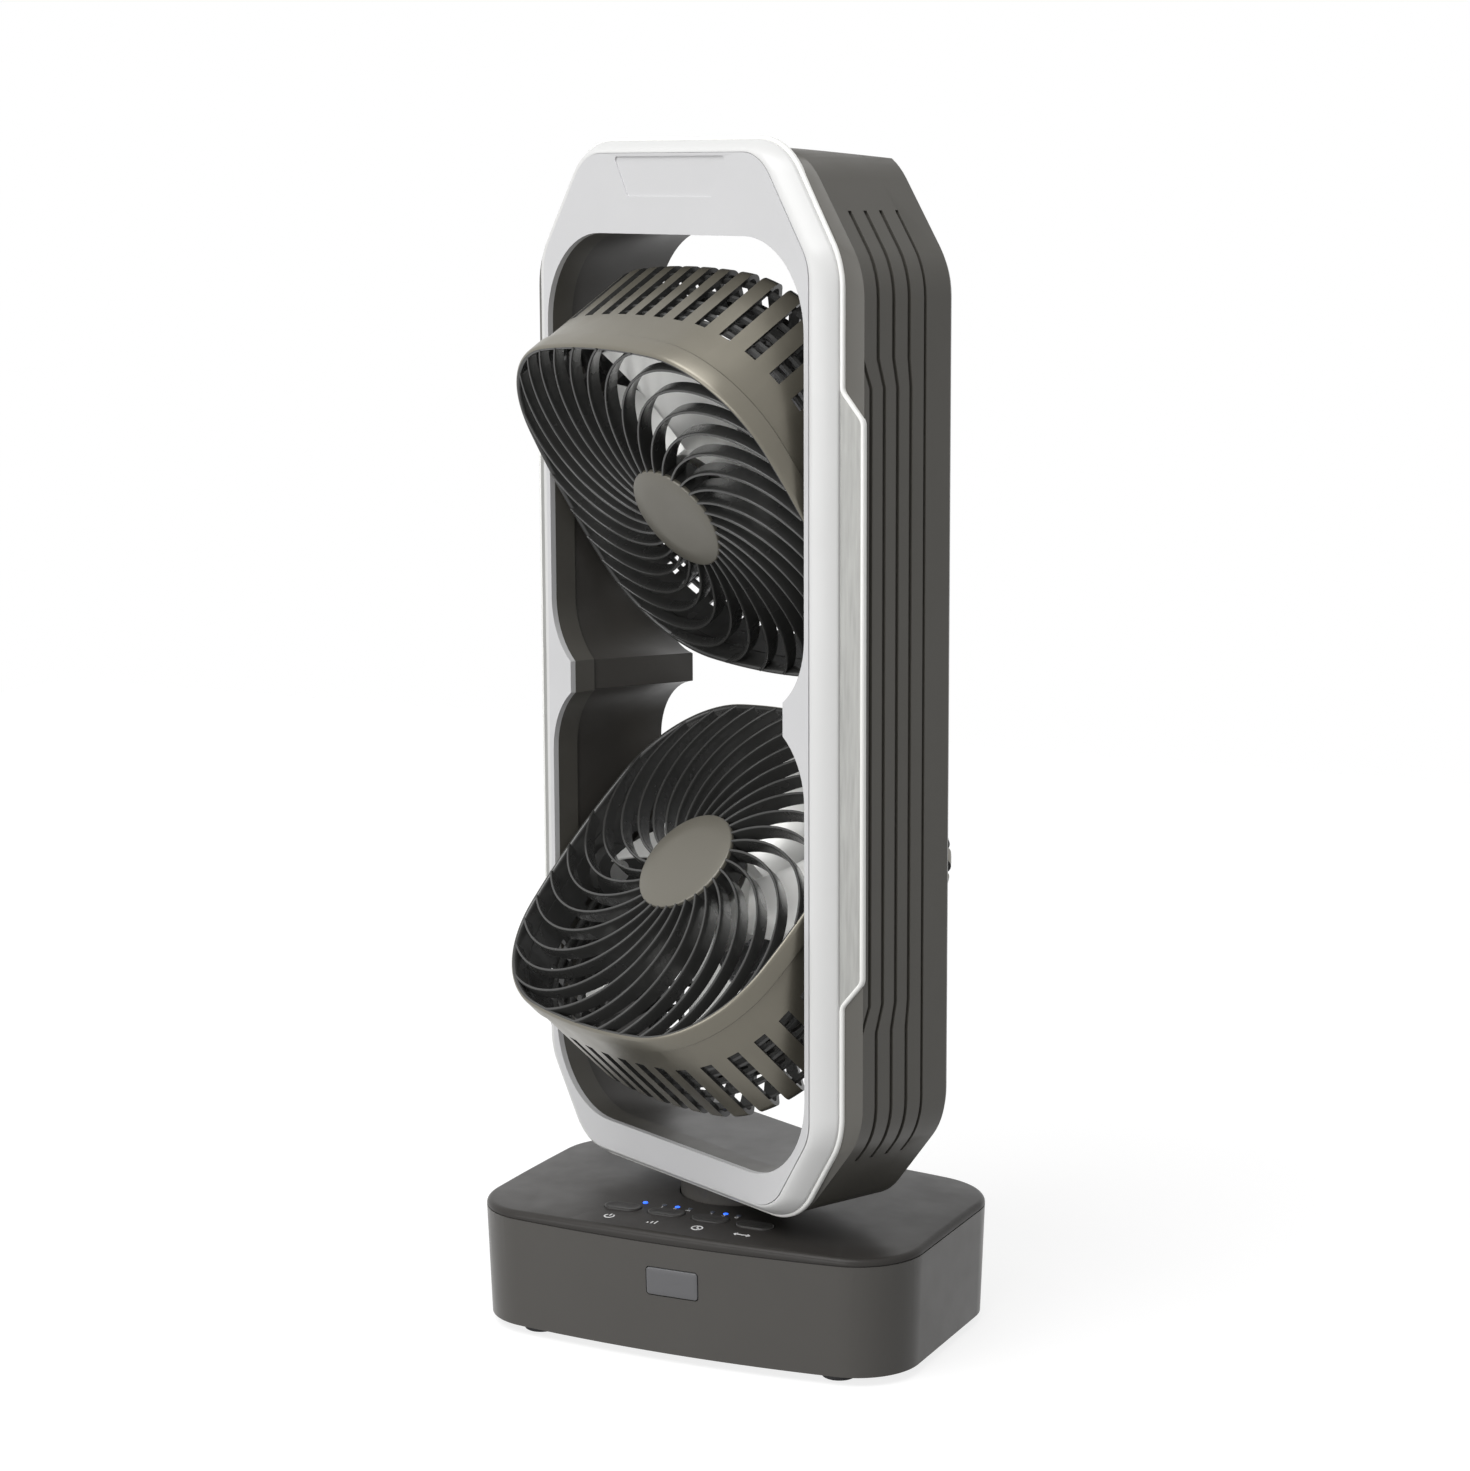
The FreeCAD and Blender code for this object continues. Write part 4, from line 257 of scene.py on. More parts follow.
bottom_places = [(x, y, 2.0) for x in (-92, 92) for y in (-27, 27)]
cover_places = [(100, 0, 40), (-100, 0, 40), (60, 40, 40), (-60, 40, 40)]
crowns, shanks = screws(base_screw_length, bottom_places + cover_places, (0, 0, -1))
base_screws = skinned("base screws", [(crowns, False, False), (shanks, True, False)])
placed(base_screws, "base_screws_cross_head", zinc, "base_screws")

# Top cover: a slightly domed lid in a darker charcoal, seated in a rebate, with a rolled edge
# and clear holes for the neck, four keys and seven lamps.

cover_charcoal = moulded("cover charcoal", tone(54, 52, 50), rough=0.34, drift=0.02, grain=1e-5,
                         specular=0.16)
finished("base_top_cover", cover_charcoal, edge=0.0002, crease=25)

# Keys: four oval push keys in satin charcoal, dished for a fingertip, standing in the cover's oval holes.
# Each one slides on its own stem above a switch.

key_row = (-38.4, -14.8, 8.8, 32.4)
key_y = -47.0
key_half_length = 9.5
key_half_width = 5.25
key_stations = 48
key_satin = moulded("key satin", tone(60, 59, 58), rough=0.34, drift=0.02, grain=1e-5, specular=0.16)


def oval(x, y, profile, half_length, half_width, stations):
    """Oval rings about a point: two half circles a straight run apart. Each profile point (inset, height)
    draws one ring whose ends have the half width less the inset as radius. Grid of stations x points x 3."""
    turn = ((np.arange(stations) + 0.5) * 2 * pi / stations)[:, None]
    inset, height = np.asarray(profile, float).T
    radius = half_width - inset
    end = np.where(np.cos(turn) > 0, 1, -1) * (half_length - half_width)
    return np.stack([x + end + radius * np.cos(turn), y + radius * np.sin(turn), height + 0 * turn], axis=-1)


key_profile = [(key_half_width, 56.0), (0.0, 56.0), (0.0, 60.65), (0.1, 60.9), (0.35, 61.05), (0.75, 61.1),
               (1.3, 61.02), (2.2, 60.86), (3.5, 60.74), (key_half_width, 60.7)]
for name, x in zip(("power", "speed", "timer", "oscillation"), key_row):
    rings = oval(x, key_y, key_profile, key_half_length, key_half_width, key_stations)
    key = skinned("key " + name, [(rings[None], True, False)])
    placed(key, "key_" + name, key_satin, "button_" + name)

# Lamps: seven clear light pipes with domed ends, pushed up from the board into the cover.
# Three glow blue: power, middle speed and middle timer step; the others are unlit and smoky.

lamp_y = -37.5
power_lamp = -31.0
speed_lamps = (-20.5, -13.5, -6.5)
timer_lamps = (5.5, 12.5, 19.5)
lit_lamps = (power_lamp, speed_lamps[1], timer_lamps[1])
dark_lamps = (speed_lamps[0], speed_lamps[2], timer_lamps[0], timer_lamps[2])
lamp_profile = [(0.0, 46.6), (1.3, 46.6), (1.3, 60.7), (1.05, 60.95), (0.6, 61.1), (0.0, 61.15)]
lamp_stations = 24


def lamp_glow(name, colour, strength):
    """Clear acrylic: a glossy skin whose colour and glow both clear a little along a slow noise."""
    material = moulded(name, colour, rough=0.12, drift=0.12, grain=1e-5)
    nodes = material.node_tree.nodes
    shader = dialled(nodes["Principled BSDF"], {"Emission Strength": strength})
    material.node_tree.links.new(nodes["Color Ramp"].outputs["Color"], shader.inputs["Emission Color"])
    return material


lamp_blue = lamp_glow("lamp blue", tone(40, 92, 235), strength=2.2)
lamp_smoke = lamp_glow("lamp smoke", tone(70, 76, 88), strength=0.0)
for name, places, glow in (("lit", lit_lamps, lamp_blue), ("dark", dark_lamps, lamp_smoke)):
    spots = np.array([(x, lamp_y, 0.0) for x in places])
    pipes = turned(lamp_profile, lamp_stations) + spots[:, None, None, :]
    lamps = skinned("lamps " + name, [(pipes, True, False)])
    placed(lamps, "lamps_" + name, glow, "indicator_lenses", stands_in=name == "lit")

# Printed signs: thin white ink on the cover, one sign in front of each key and one by each speed and timer
# lamp.
# Power ring, rising bars, clock face and double arrow; tally strokes and part circles at the lamps.

ink = moulded("white ink", tone(226, 226, 226), rough=0.5, drift=0.04, grain=1e-5)
dome_crown = 61.0
dome_radius = 2500
ink_proud = 0.09
ink_sunk = -0.3
sign_y = -61.5
sign_line = 0.75
mark_y = -40.2
mark_line = 0.38
mark_half = 0.7
mark_circle = 0.75
tally_pitch = 0.9
bow_points = 33


def stroke(points, width):
    """Ink line: a flat oblong section carried along the path, lying on the cover's dome, whose height is the
    crown less half the distance squared over the dome's radius. The end sections close to their middles."""
    path = np.asarray(points, float)
    along = np.gradient(path, axis=0)
    along /= np.linalg.norm(along, axis=1, keepdims=True)
    across = np.stack([-along[:, 1], along[:, 0]], axis=-1)
    side = np.array([-0.5, 0.5, 0.5, -0.5]) * width
    plan = path[:, None, :] + across[:, None, :] * side[:, None]
    dome = dome_crown - (plan ** 2).sum(axis=-1) / (2 * dome_radius)
    height = dome + np.array([ink_proud, ink_proud, ink_sunk, ink_sunk])
    rows = np.concatenate([plan, height[..., None]], axis=-1)
    ends = rows.mean(axis=1, keepdims=True) + 0 * rows
    return np.concatenate([ends[:1], rows, ends[-1:]])


def bow(radius, first, last):
    """Points on a circle's arc about the sign's middle, between two angles in degrees."""
    angle = np.radians(np.linspace(first, last, bow_points))
    return np.stack([radius * np.cos(angle), radius * np.sin(angle)], axis=-1)


def run(x0, y0, x1, y1):
    """Points on a straight line."""
    return np.linspace((x0, y0), (x1, y1), 3)


power_ring = [bow(2.3, 130, 410), run(0, 0.4, 0, 3.0)]
rising_bars = [run(2 * i, -2.4, 2 * i, 0.2 + 1.2 * i) for i in (-1, 0, 1)]
clock_face = [bow(2.6, 0, 360), run(0, 0, 0, 1.7), run(0, 0, 1.3, -0.6)]
double_arrow = [run(-4, 0, 4, 0)]
double_arrow += [np.array([(hand * 2.6, 1.4), (hand * 4, 0), (hand * 2.6, -1.4)]) for hand in (-1, 1)]
key_signs = zip(key_row, (power_ring, rising_bars, clock_face, double_arrow))
signs = [points + (x, sign_y) for x, sign in key_signs for points in sign]
marks = []
for extra, x in enumerate(speed_lamps):
    tally = tally_pitch * (np.arange(extra + 1) - extra / 2)
    marks += [run(x + step, mark_y - mark_half, x + step, mark_y + mark_half) for step in tally]
marks += [bow(mark_circle, 90, 90 - sweep) + (x, mark_y) for x, sweep in zip(timer_lamps, (120, 240, 360))]
print_sheets = [(stroke(points, sign_line)[None], False, True) for points in signs]
print_sheets += [(stroke(points, mark_line)[None], False, True) for points in marks]
placed(skinned("printed signs", print_sheets), "printed_signs", ink, "base_top_cover", stands_in=False)

# Receiver window: a smoke-grey pane with rounded corners, let into the front wall with a fine shadow gap
# all round. Its face follows the wall's slow bow and stands a little proud of it.

window_grey = moulded("window grey", tone(92, 92, 94), rough=0.3, drift=0.03, grain=1e-5)
wall_half = 115.0
wall_rise = 9.5
wall_bow = (wall_half ** 2 + wall_rise ** 2) / (2 * wall_rise)
wall_front = 76.0
wall_height = 54.5
wall_taper = 2.0
pane_x, pane_z = 2.0, 35.8
pane_half_x, pane_half_z = 13.9, 7.2
pane_corner, least_corner = 2.0, 0.02
pane_middle = 7.19
pane_stations = 48


def wall_y(x, z, proud):
    """Front wall's distance from the middle: an arc of the bow's radius, drawn in by the taper towards
    the bottom and put out by what stands proud."""
    inset = wall_taper * (1 - z / wall_height) - proud
    return wall_bow - wall_front - np.sqrt((wall_bow - inset) ** 2 - x ** 2)


def pane(rings, stations):
    """Rounded oblong in rings: each ring (inset, proud) has corner arcs about the four corner centres."""
    turn = ((np.arange(stations) + 0.5) * 2 * pi / stations)[:, None]
    inset, proud = np.asarray(rings, float).T
    corner = np.maximum(pane_corner - inset, least_corner)
    half_x = pane_half_x - inset - corner
    half_z = pane_half_z - inset - corner
    x = pane_x + np.sign(np.cos(turn)) * half_x + corner * np.cos(turn)
    z = pane_z + np.sign(np.sin(turn)) * half_z + corner * np.sin(turn)
    return np.stack([x, wall_y(x, z, proud), z], axis=-1)


pane_rings = [(pane_middle, -2.0), (0.45, -2.0), (0.45, 0.1), (0.6, 0.3), (1.0, 0.4), (3.0, 0.4), (5.0, 0.4),
              (pane_middle, 0.4)]
window = skinned("receiver window", [(pane(pane_rings, pane_stations)[None], True, False)])
placed(window, "receiver_window", window_grey, "ir_window")

# Neck: a turned column of the base's charcoal that carries the tower, with its gear, ring, plate and screws.
# The tower oscillates with all of it.

neck_works = (("neck_column", charcoal, 0.0004), ("neck_gear", nylon, 0), ("neck_retainer", nylon, 0),
              ("neck_plate", zinc, 0.0004), ("neck_screws", zinc, 0))
for node, finish, edge in neck_works:
    finished(node, finish, edge)

# Housing: two deep mouldings in warm dark grey, parted near the back by a shadow groove,
# with long jogged grooves down each flank. Six screws from the back hold them together.

housing_grey = moulded("housing grey", tone(78, 76, 71), rough=0.42, drift=0.03, grain=3e-5)
finished("tower_front_housing", housing_grey, edge=0.0004)
finished("tower_rear_housing", housing_grey, edge=0.0005)
tower_turn = radians(-26.5)
neck_back = 37.0
tower_middle = 310.54
tower_screw_length = 22.0


def in_tower(points):
    """Tower points (across, back from the face, up from mid-height) in the base's frame: set over the neck,
    then turned about it."""
    x = points[..., 0]
    y = points[..., 1] - neck_back
    z = points[..., 2] + tower_middle
    return np.stack([x * cos(tower_turn) - y * sin(tower_turn), x * sin(tower_turn) + y * cos(tower_turn), z],
                    axis=-1)


seats = [(x, 65.0, z) for x in (-112, 112) for z in (-160, 0, 160)]
crowns, shanks = map(in_tower, screws(tower_screw_length, seats, (0, 1, 0)))
tower_screws = skinned("tower screws", [(crowns, False, False), (shanks, True, False)])
placed(tower_screws, "tower_screws_cross_head", zinc, "tower_screws")

# Lining: the dark sleeve of the through opening, one smooth moulding fitted inside the two housings.
# The heads' four nylon bushes are pressed into its sides.

lining_grey = moulded("lining grey", tone(61, 59, 56), rough=0.36, drift=0.03, grain=2e-5)
finished("opening_liner", lining_grey, edge=0.0004)
finished("tilt_bushes", nylon, edge=0)

# Front plate: one flat satin silver moulding, glued to the housing's front round the opening,
# with a shallow bare field at its top.

silver = moulded("satin silver", tone(200, 200, 201), rough=0.42, drift=0.015, grain=1e-5)
finished("front_plate", silver, edge=0.00025)

# Bevel surround: a gloss white ring that bulges from the face's edge back to the edge bead,
# clipped on from behind with a hairline gap to the face and another to the bead.

white_gloss = moulded("white gloss", tone(212, 212, 211), rough=0.34, drift=0.01, grain=1e-5)
face_right = np.array([(74.0, -234.5), (102.0, -193.5), (102.0, 206.0), (67.0, 255.0)])
face_corners = np.concatenate([face_right, face_right[::-1] * (-1, 1)])
inner_radius = 24.0
outer_radius = 34.6
bevel_steps = 17
soft_crease = 50
true_within = 1e-6


def face_outline(corners, radius, steps):
    """Closed outline with its corners rounded by tangent arcs, one radius for each corner or one for all.
    An arc turns left or right as its corner does. Corners x steps x 2."""
    radius = np.broadcast_to(radius, len(corners))[:, None]
    back = np.roll(corners, 1, axis=0) - corners
    ahead = np.roll(corners, -1, axis=0) - corners
    back /= np.linalg.norm(back, axis=1, keepdims=True)
    ahead /= np.linalg.norm(ahead, axis=1, keepdims=True)
    half = np.arccos((back * ahead).sum(axis=1, keepdims=True)) / 2
    bend = np.sign(ahead[:, :1] * back[:, 1:] - ahead[:, 1:] * back[:, :1])
    inward = (back + ahead) / np.linalg.norm(back + ahead, axis=1, keepdims=True)
    centre = corners + inward * radius / np.sin(half)
    start = corners + back * radius / np.tan(half) - centre
    first = np.arctan2(start[:, 1], start[:, 0])[:, None]
    angle = first + bend * np.linspace(0, 1, steps) * (pi - 2 * half)
    return centre[:, None, :] + radius[..., None] * np.stack([np.cos(angle), np.sin(angle)], axis=-1)


def corner_shift(corners, side, end, slant):
    """How far each corner moves when upright, level and slanted edges move out by their own amounts:
    the crossing of the two moved edge lines that meet there."""
    along = np.roll(corners, -1, axis=0) - corners
    along /= np.linalg.norm(along, axis=1, keepdims=True)
    normal = np.stack([along[:, 1], -along[:, 0]], axis=-1)
    end_or_slant = np.where(np.abs(normal[:, 0]) < true_within, end, slant)
    amount = np.where(np.abs(normal[:, 1]) < true_within, side, end_or_slant)
    before = np.roll(normal, 1, axis=0)
    before_amount = np.roll(amount, 1)
    cross = before[:, 0] * normal[:, 1] - before[:, 1] * normal[:, 0]
    x = (before_amount * normal[:, 1] - amount * before[:, 1]) / cross
    y = (amount * before[:, 0] - before_amount * normal[:, 0]) / cross
    return np.stack([x, y], axis=-1)


# The section's rows go from the hairline at the face over the bulge to the hairline at the bead: how far each
# is spread from the face's outline towards the outer one, and how deep it lies behind the face.
bulge = np.linspace(0, 0.81, 13)
bevel_spread = np.concatenate([[0.018, 0.018, 0.03], 0.075 + 0.925 * bulge ** 0.72, [0.872, 0.866]])
bevel_depth = np.concatenate([[10.3, 0.75, 0.4], 0.3 + 9.8 * bulge ** 1.16, [8.3, 10.3]])
bevel_shift = corner_shift(face_corners, side=13.0, end=6.5, slant=10.6)
inner_line = face_outline(face_corners, inner_radius, bevel_steps)
outer_line = face_outline(face_corners + bevel_shift, outer_radius, bevel_steps)
flat = inner_line[:, :, None, :] + bevel_spread[:, None] * (outer_line - inner_line)[:, :, None, :]
flat = flat.reshape(-1, bevel_spread.size, 2)
ring = in_tower(np.stack([flat[..., 0], bevel_depth + 0 * flat[..., 0], flat[..., 1]], axis=-1))
bevel = skinned("bevel surround", [(ring[None], True, True)], soft_crease)
placed(bevel, "bevel_surround", white_gloss, "bevel_frame")

# Edge bead: a polished white lip round the bevel, parted from it by a hairline. On each side it swings out
# round the trim's slanted ends and down the trim's outer edge, all in one moulding.

trim_ends = np.array([(114.3, -130.5), (125.0, -117.6), (125.0, 137.2), (114.3, 150.1)])
trim_lean = 2.9 / 10.3
flare_depth = 9.6
flare_edge = 115.5
flare_lap = 1.2
bead_spread = 0.948
bead_corners = face_corners + bead_spread * bevel_shift
bead_right = np.concatenate([bead_corners[:2], trim_ends, bead_corners[2:4]])
bead_corners = np.concatenate([bead_right, bead_right[::-1] * (-1, 1)])
bead_radii = np.tile((34.0, 34.0, 6.0, 6.0, 6.0, 6.0, 34.0, 34.0), 2)
bead_section = np.array([(-0.9, -1.4), (-0.9, -0.1), (-0.75, 0.22), (-0.4, 0.45), (0.0, 0.52), (0.45, 0.42),
                         (0.85, 0.1), (1.0, -0.4), (1.0, -1.4)])
bead_steps = 13


def lip_depth(x):
    """Depth of the flare's plane beside the bevel: it leans back with the distance beyond
    the bevel's edge, and keeps level from a short lap inside that edge."""
    return flare_depth + trim_lean * np.maximum(np.abs(x) - flare_edge, -flare_lap)


def beading(path, section):
    """Section (across, proud) carried round a closed path in the face's plane, across it and proud of
    the flare, whose lean the section shares."""
    along = np.roll(path, -1, axis=0) - np.roll(path, 1, axis=0)
    along /= np.linalg.norm(along, axis=1, keepdims=True)
    x = path[:, :1] + section[:, 0] * along[:, 1:]
    z = path[:, 1:] - section[:, 0] * along[:, :1]
    lean = trim_lean * section[:, 0] * along[:, 1:] * np.sign(x)
    return np.stack([x, lip_depth(path[:, :1]) + lean - section[:, 1], z], axis=-1)


polished_white = moulded("polished white", tone(236, 236, 233), rough=0.14, drift=0.01, grain=1e-5)
bead_path = face_outline(bead_corners, bead_radii, bead_steps).reshape(-1, 2)
bead = skinned("edge bead", [(in_tower(beading(bead_path, bead_section))[None], True, True)], soft_crease)
placed(bead, "edge_bead", polished_white, "bevel_frame", stands_in=False)

# Side trims: two brushed aluminium strips bonded to the flare beside the bevel,
# their ends cut on the slant under the edge bead.

trim_inner = 113.45
trim_thickness = 0.8


def brushed(name, colour, rough, metallic):
    """Brushed metal: a noise drawn out along the height gives fine streaks in colour, gloss and relief."""
    material = moulded(name, colour, rough, drift=0.1, grain=metal_grain, metallic=metallic)
    nodes = material.node_tree.nodes
    link = material.node_tree.links.new
    drawn = dialled(nodes.new("ShaderNodeMapping"), {"Scale": (26.0, 26.0, 2.0)})
    link(nodes["Texture Coordinate"].outputs["Object"], drawn.inputs["Vector"])
    for texture in [node for node in nodes if node.bl_idname == "ShaderNodeTexNoise"]:
        link(drawn.outputs["Vector"], texture.inputs["Vector"])
    return material


def trim_strip(hand):
    """Flat strip in the flare's plane: four points across (front and back, inner and outer edge) carried up
    its height. The outer edge follows the trim's slanted ends. The end sections close to their middles."""
    outer, height = trim_ends.T
    inner = np.full(4, trim_inner)
    x = np.stack([inner, outer, outer, inner], axis=-1)
    y = flare_depth + trim_lean * (x - flare_edge) + np.array([0.0, 0.0, trim_thickness, trim_thickness])
    rows = np.stack([hand * x, y, height[:, None] + 0 * x], axis=-1)
    ends = rows.mean(axis=1, keepdims=True) + 0 * rows
    return np.concatenate([ends[:1], rows, ends[-1:]])


brushed_silver = brushed("brushed aluminium", tone(156, 156, 153), rough=0.5, metallic=0.5)
for name, hand in (("side_trim_left", -1), ("side_trim_right", 1)):
    strip = skinned("trim", [(in_tower(trim_strip(hand))[None], False, True)])
    placed(strip, name + "_strip", brushed_silver, name)

# Head works: a dished guard behind each drum, and a motor with its shaft, light grey wheel and nut.
# Both heads are alike and hang on trunnions in the lining's bushes.

guard_grey = moulded("guard grey", tone(48, 47, 45), rough=0.4, drift=0.05, grain=3e-5)
wheel_grey = moulded("wheel grey", tone(234, 234, 231), rough=0.34, drift=0.02, grain=1e-5, metallic=0.4)
head_works = (("rear_guard", guard_grey, 0.0004), ("trunnions", zinc, 0), ("tilt_washers", nylon, 0),
              ("tilt_clips", zinc, 0), ("motor", can_metal, 0.0006), ("motor_shaft", zinc, 0),
              ("blade_nut", component_black, 0.0004))
for name in ("upper_", "lower_"):
    for node, finish, edge in head_works:
        finished(name + node, finish, edge)
    finished(name + "fan_blade", wheel_grey, edge=0.0003, crease=45)

# Guard screws: the same zinc-plated pan heads. Four hold each guard to its drum
# and three hold the motor to the guard's middle plate.

heads = (("upper_", -32.5, 102.72), ("lower_", 44.0, -102.72))
pivot_back = 30.7
head_screw_length = 10.0


def in_head(points, tilt, height):
    """Head points (across, up, forward from the tilt axis) in the base's frame: tilted, raised to the pivot
    and put in the tower."""
    angle = radians(90 - tilt)
    y = points[..., 1] * cos(angle) - points[..., 2] * sin(angle) + pivot_back
    z = points[..., 1] * sin(angle) + points[..., 2] * cos(angle) + height
    return in_tower(np.stack([points[..., 0], y, z], axis=-1))


def screw_circle(count, radius, first, forward):
    """Screw seats evenly spaced round a circle from the first angle, in degrees, all as far forward."""
    angle = np.radians(first + 360 // count * np.arange(count))
    return np.stack([radius * np.cos(angle), radius * np.sin(angle), np.full(count, forward)], axis=-1)


guard_seats = screw_circle(4, radius=71, first=40, forward=-44.5)
motor_seats = screw_circle(3, radius=16, first=90, forward=-60.0)
seats = np.concatenate([guard_seats, motor_seats])
for name, tilt, height in heads:
    crowns, shanks = (in_head(grid, tilt, height) for grid in screws(head_screw_length, seats, (0, 0, -1)))
    head_screws = skinned("head screws", [(crowns, False, False), (shanks, True, False)])
    placed(head_screws, name + "head_screws_cross_head", zinc, name + "head_screws")

# Drums: each head's slotted shell, a rounded square painted gunmetal outside.
# Its inside, the slots' walls and the rear shoulder take the vane black as painted shade, where the drum's
# inside lies in shadow.

shell_grey = moulded("gunmetal paint", tone(118, 114, 103), rough=0.32, drift=0.03, grain=1e-5, metallic=0.55)
vane_black = moulded("vane black", tone(56, 56, 55), rough=0.25, drift=0.03, grain=1e-5)
drum_half = 96.0
corner_radius = 60.0
corner_throw = 48.0
corner_reach = corner_throw / sqrt(2)
corner_rest = drum_half - corner_radius
side_back = (corner_rest ** 2 - 2 * corner_reach ** 2) / (2 * (corner_reach - corner_rest))
side_span = atan2(corner_reach, corner_reach + side_back)
drum_inset = 1.0
painted_shade_depth = 0.5


def outside(x, y, inset):
    """Signed distance of points beyond the rounded square drawn in by the inset: from its corner arc where
    they lie in that arc's sector, else from the nearer side arc. The side arc's centre is just so far back
    that both arcs share their tangents."""
    x, y = np.maximum(np.abs(x), np.abs(y)), np.minimum(np.abs(x), np.abs(y))
    sector = np.arctan2(y - corner_reach, x - corner_reach)
    at_corner = np.hypot(x - corner_reach, y - corner_reach) - corner_radius + inset
    at_side = np.hypot(x + side_back, y) - drum_half - side_back + inset
    in_sector = (sector > side_span) & (sector < pi / 2 - side_span) & (x > corner_reach)
    return np.where(in_sector, at_corner, at_side)


def seen_from_head(points, tilt, height):
    """Points in metres of the base's frame as head points (across, up) in millimetres:
    in_head run backwards."""
    x, y, z = points.T * 1000
    back = y * cos(tower_turn) - x * sin(tower_turn) + neck_back - pivot_back
    lift = z - tower_middle - height
    angle = radians(90 - tilt)
    return x * cos(tower_turn) + y * sin(tower_turn), back * cos(angle) + lift * sin(angle)


for name, tilt, height in heads:
    drum = finished(name + "head_shell", shell_grey, edge=0.0006).data
    drum.materials.append(vane_black)
    middles = np.empty(3 * len(drum.polygons))
    drum.polygons.foreach_get("center", middles)
    across, up = seen_from_head(middles.reshape(-1, 3), tilt, height)
    # Faces deeper than this below the outer skin get the vane black: painted shade on the drum's inside.
    inside = outside(across, up, drum_inset) < -painted_shade_depth
    drum.polygons.foreach_set("material_index", inside.astype(int))

# Grilles: thirty swept vanes run from a hub ring out to the rim, all black. The rim's outer wall follows the
# drum's rounded square and is painted in the drum's grey up to the crest of its lip.

vane_count = 30
vane_steps = 36
vane_front = 33.2
vane_fall = 4.4
vane_back = 24.0
vane_overrun = 3
vane_end_inset = 1.6
vane_trials = 600
vane_section = np.array([(-0.85, vane_back), (-0.8, -3.0), (-0.72, -0.7), (-0.6, -0.2), (-0.42, 0.0),
                         (0.42, 0.0), (0.6, -0.2), (0.72, -0.7), (0.8, -3.0), (0.85, vane_back)])
rim_steps = 14
rim_crease = 35
hub_stations = 72


def rounded_square(profile, steps):
    """Rounded square's rings: every quarter has a shallow side arc and a corner arc that share their
    tangents, so a direction angle walks round both. Each profile point (inset, height) draws one ring."""
    side = np.linspace(-side_span, side_span, steps, endpoint=False)
    corner = np.linspace(side_span, pi / 2 - side_span, 2 * steps, endpoint=False)
    quarter = np.concatenate([side, corner])
    on_side = np.arange(quarter.size) < steps
    turn = np.arange(4)[:, None] * pi / 2
    direction = (turn + quarter).reshape(-1, 1)
    diagonal = turn + pi / 4
    centre_x = np.where(on_side, -side_back * np.cos(turn), corner_throw * np.cos(diagonal)).reshape(-1, 1)
    centre_y = np.where(on_side, -side_back * np.sin(turn), corner_throw * np.sin(diagonal)).reshape(-1, 1)
    radius = np.where(on_side, drum_half + side_back, corner_radius + 0 * turn).reshape(-1, 1)
    inset, height = np.asarray(profile, float).T
    x = centre_x + (radius - inset) * np.cos(direction)
    y = centre_y + (radius - inset) * np.sin(direction)
    return np.stack([x, y, height + 0 * x], axis=-1)


def arc_through(first, middle, last):
    """Centre and radius of the circle through three points, from the crossing of two bisectors."""
    lines = 2 * np.array([middle - first, last - first])
    values = np.array([middle @ middle - first @ first, last @ last - first @ first])
    centre = np.linalg.solve(lines, values)
    return centre, np.linalg.norm(first - centre)


def polar(radius, degrees):
    """Point at a radius and a direction from the hub's middle."""
    return radius * np.array([cos(radians(degrees)), sin(radians(degrees))])


def vanes(count, steps):
    """Swept vanes: an arc from the hub, turned about the axis once per vane and cut where it meets the rim.
    A thin section with a rounded front is carried along it; its front edge falls evenly from the hub to
    the rim, and its back edge stays level. The end sections close to their middles."""
    start, middle, end = polar(25.8, 1.0), polar(61.65, -20.0), polar(108.0, -62.0)
    centre, radius = arc_through(start, middle, end)
    first = atan2(*(start - centre)[::-1])
    last = atan2(*(end - centre)[::-1])
    sweep = (last - first + pi) % (2 * pi) - pi
    turn = np.arange(count)[:, None] * 2 * pi / count
    trial = np.linspace(0, 1, vane_trials)
    angle = first + sweep * trial
    plan = centre[:, None] + radius * np.stack([np.cos(angle), np.sin(angle)])
    x = plan[0] * np.cos(turn) - plan[1] * np.sin(turn)
    y = plan[0] * np.sin(turn) + plan[1] * np.cos(turn)
    stop = trial[(outside(x, y, vane_end_inset) < 0).sum(axis=1) - 1]
    angle = first + sweep * (stop[:, None] * np.linspace(0, 1, steps))
    span = np.linalg.norm(end - start)
    spine = centre + radius * np.stack([np.cos(angle), np.sin(angle)], axis=-1)
    fall = ((spine - start) @ ((end - start) / span) + vane_overrun) / (span + 2 * vane_overrun)
    front = vane_front - vane_fall * fall
    reach = radius + vane_section[:, 0]
    local_x = centre[0] + np.cos(angle)[..., None] * reach
    local_y = centre[1] + np.sin(angle)[..., None] * reach
    height = np.where(vane_section[:, 1] > 0, vane_back, front[..., None] + vane_section[:, 1])
    turn = turn[..., None]
    rows = np.stack([local_x * np.cos(turn) - local_y * np.sin(turn),
                     local_x * np.sin(turn) + local_y * np.cos(turn), height], axis=-1)
    ends = rows.mean(axis=2, keepdims=True) + 0 * rows
    return np.concatenate([ends[:, :1], rows, ends[:, -1:]], axis=1)


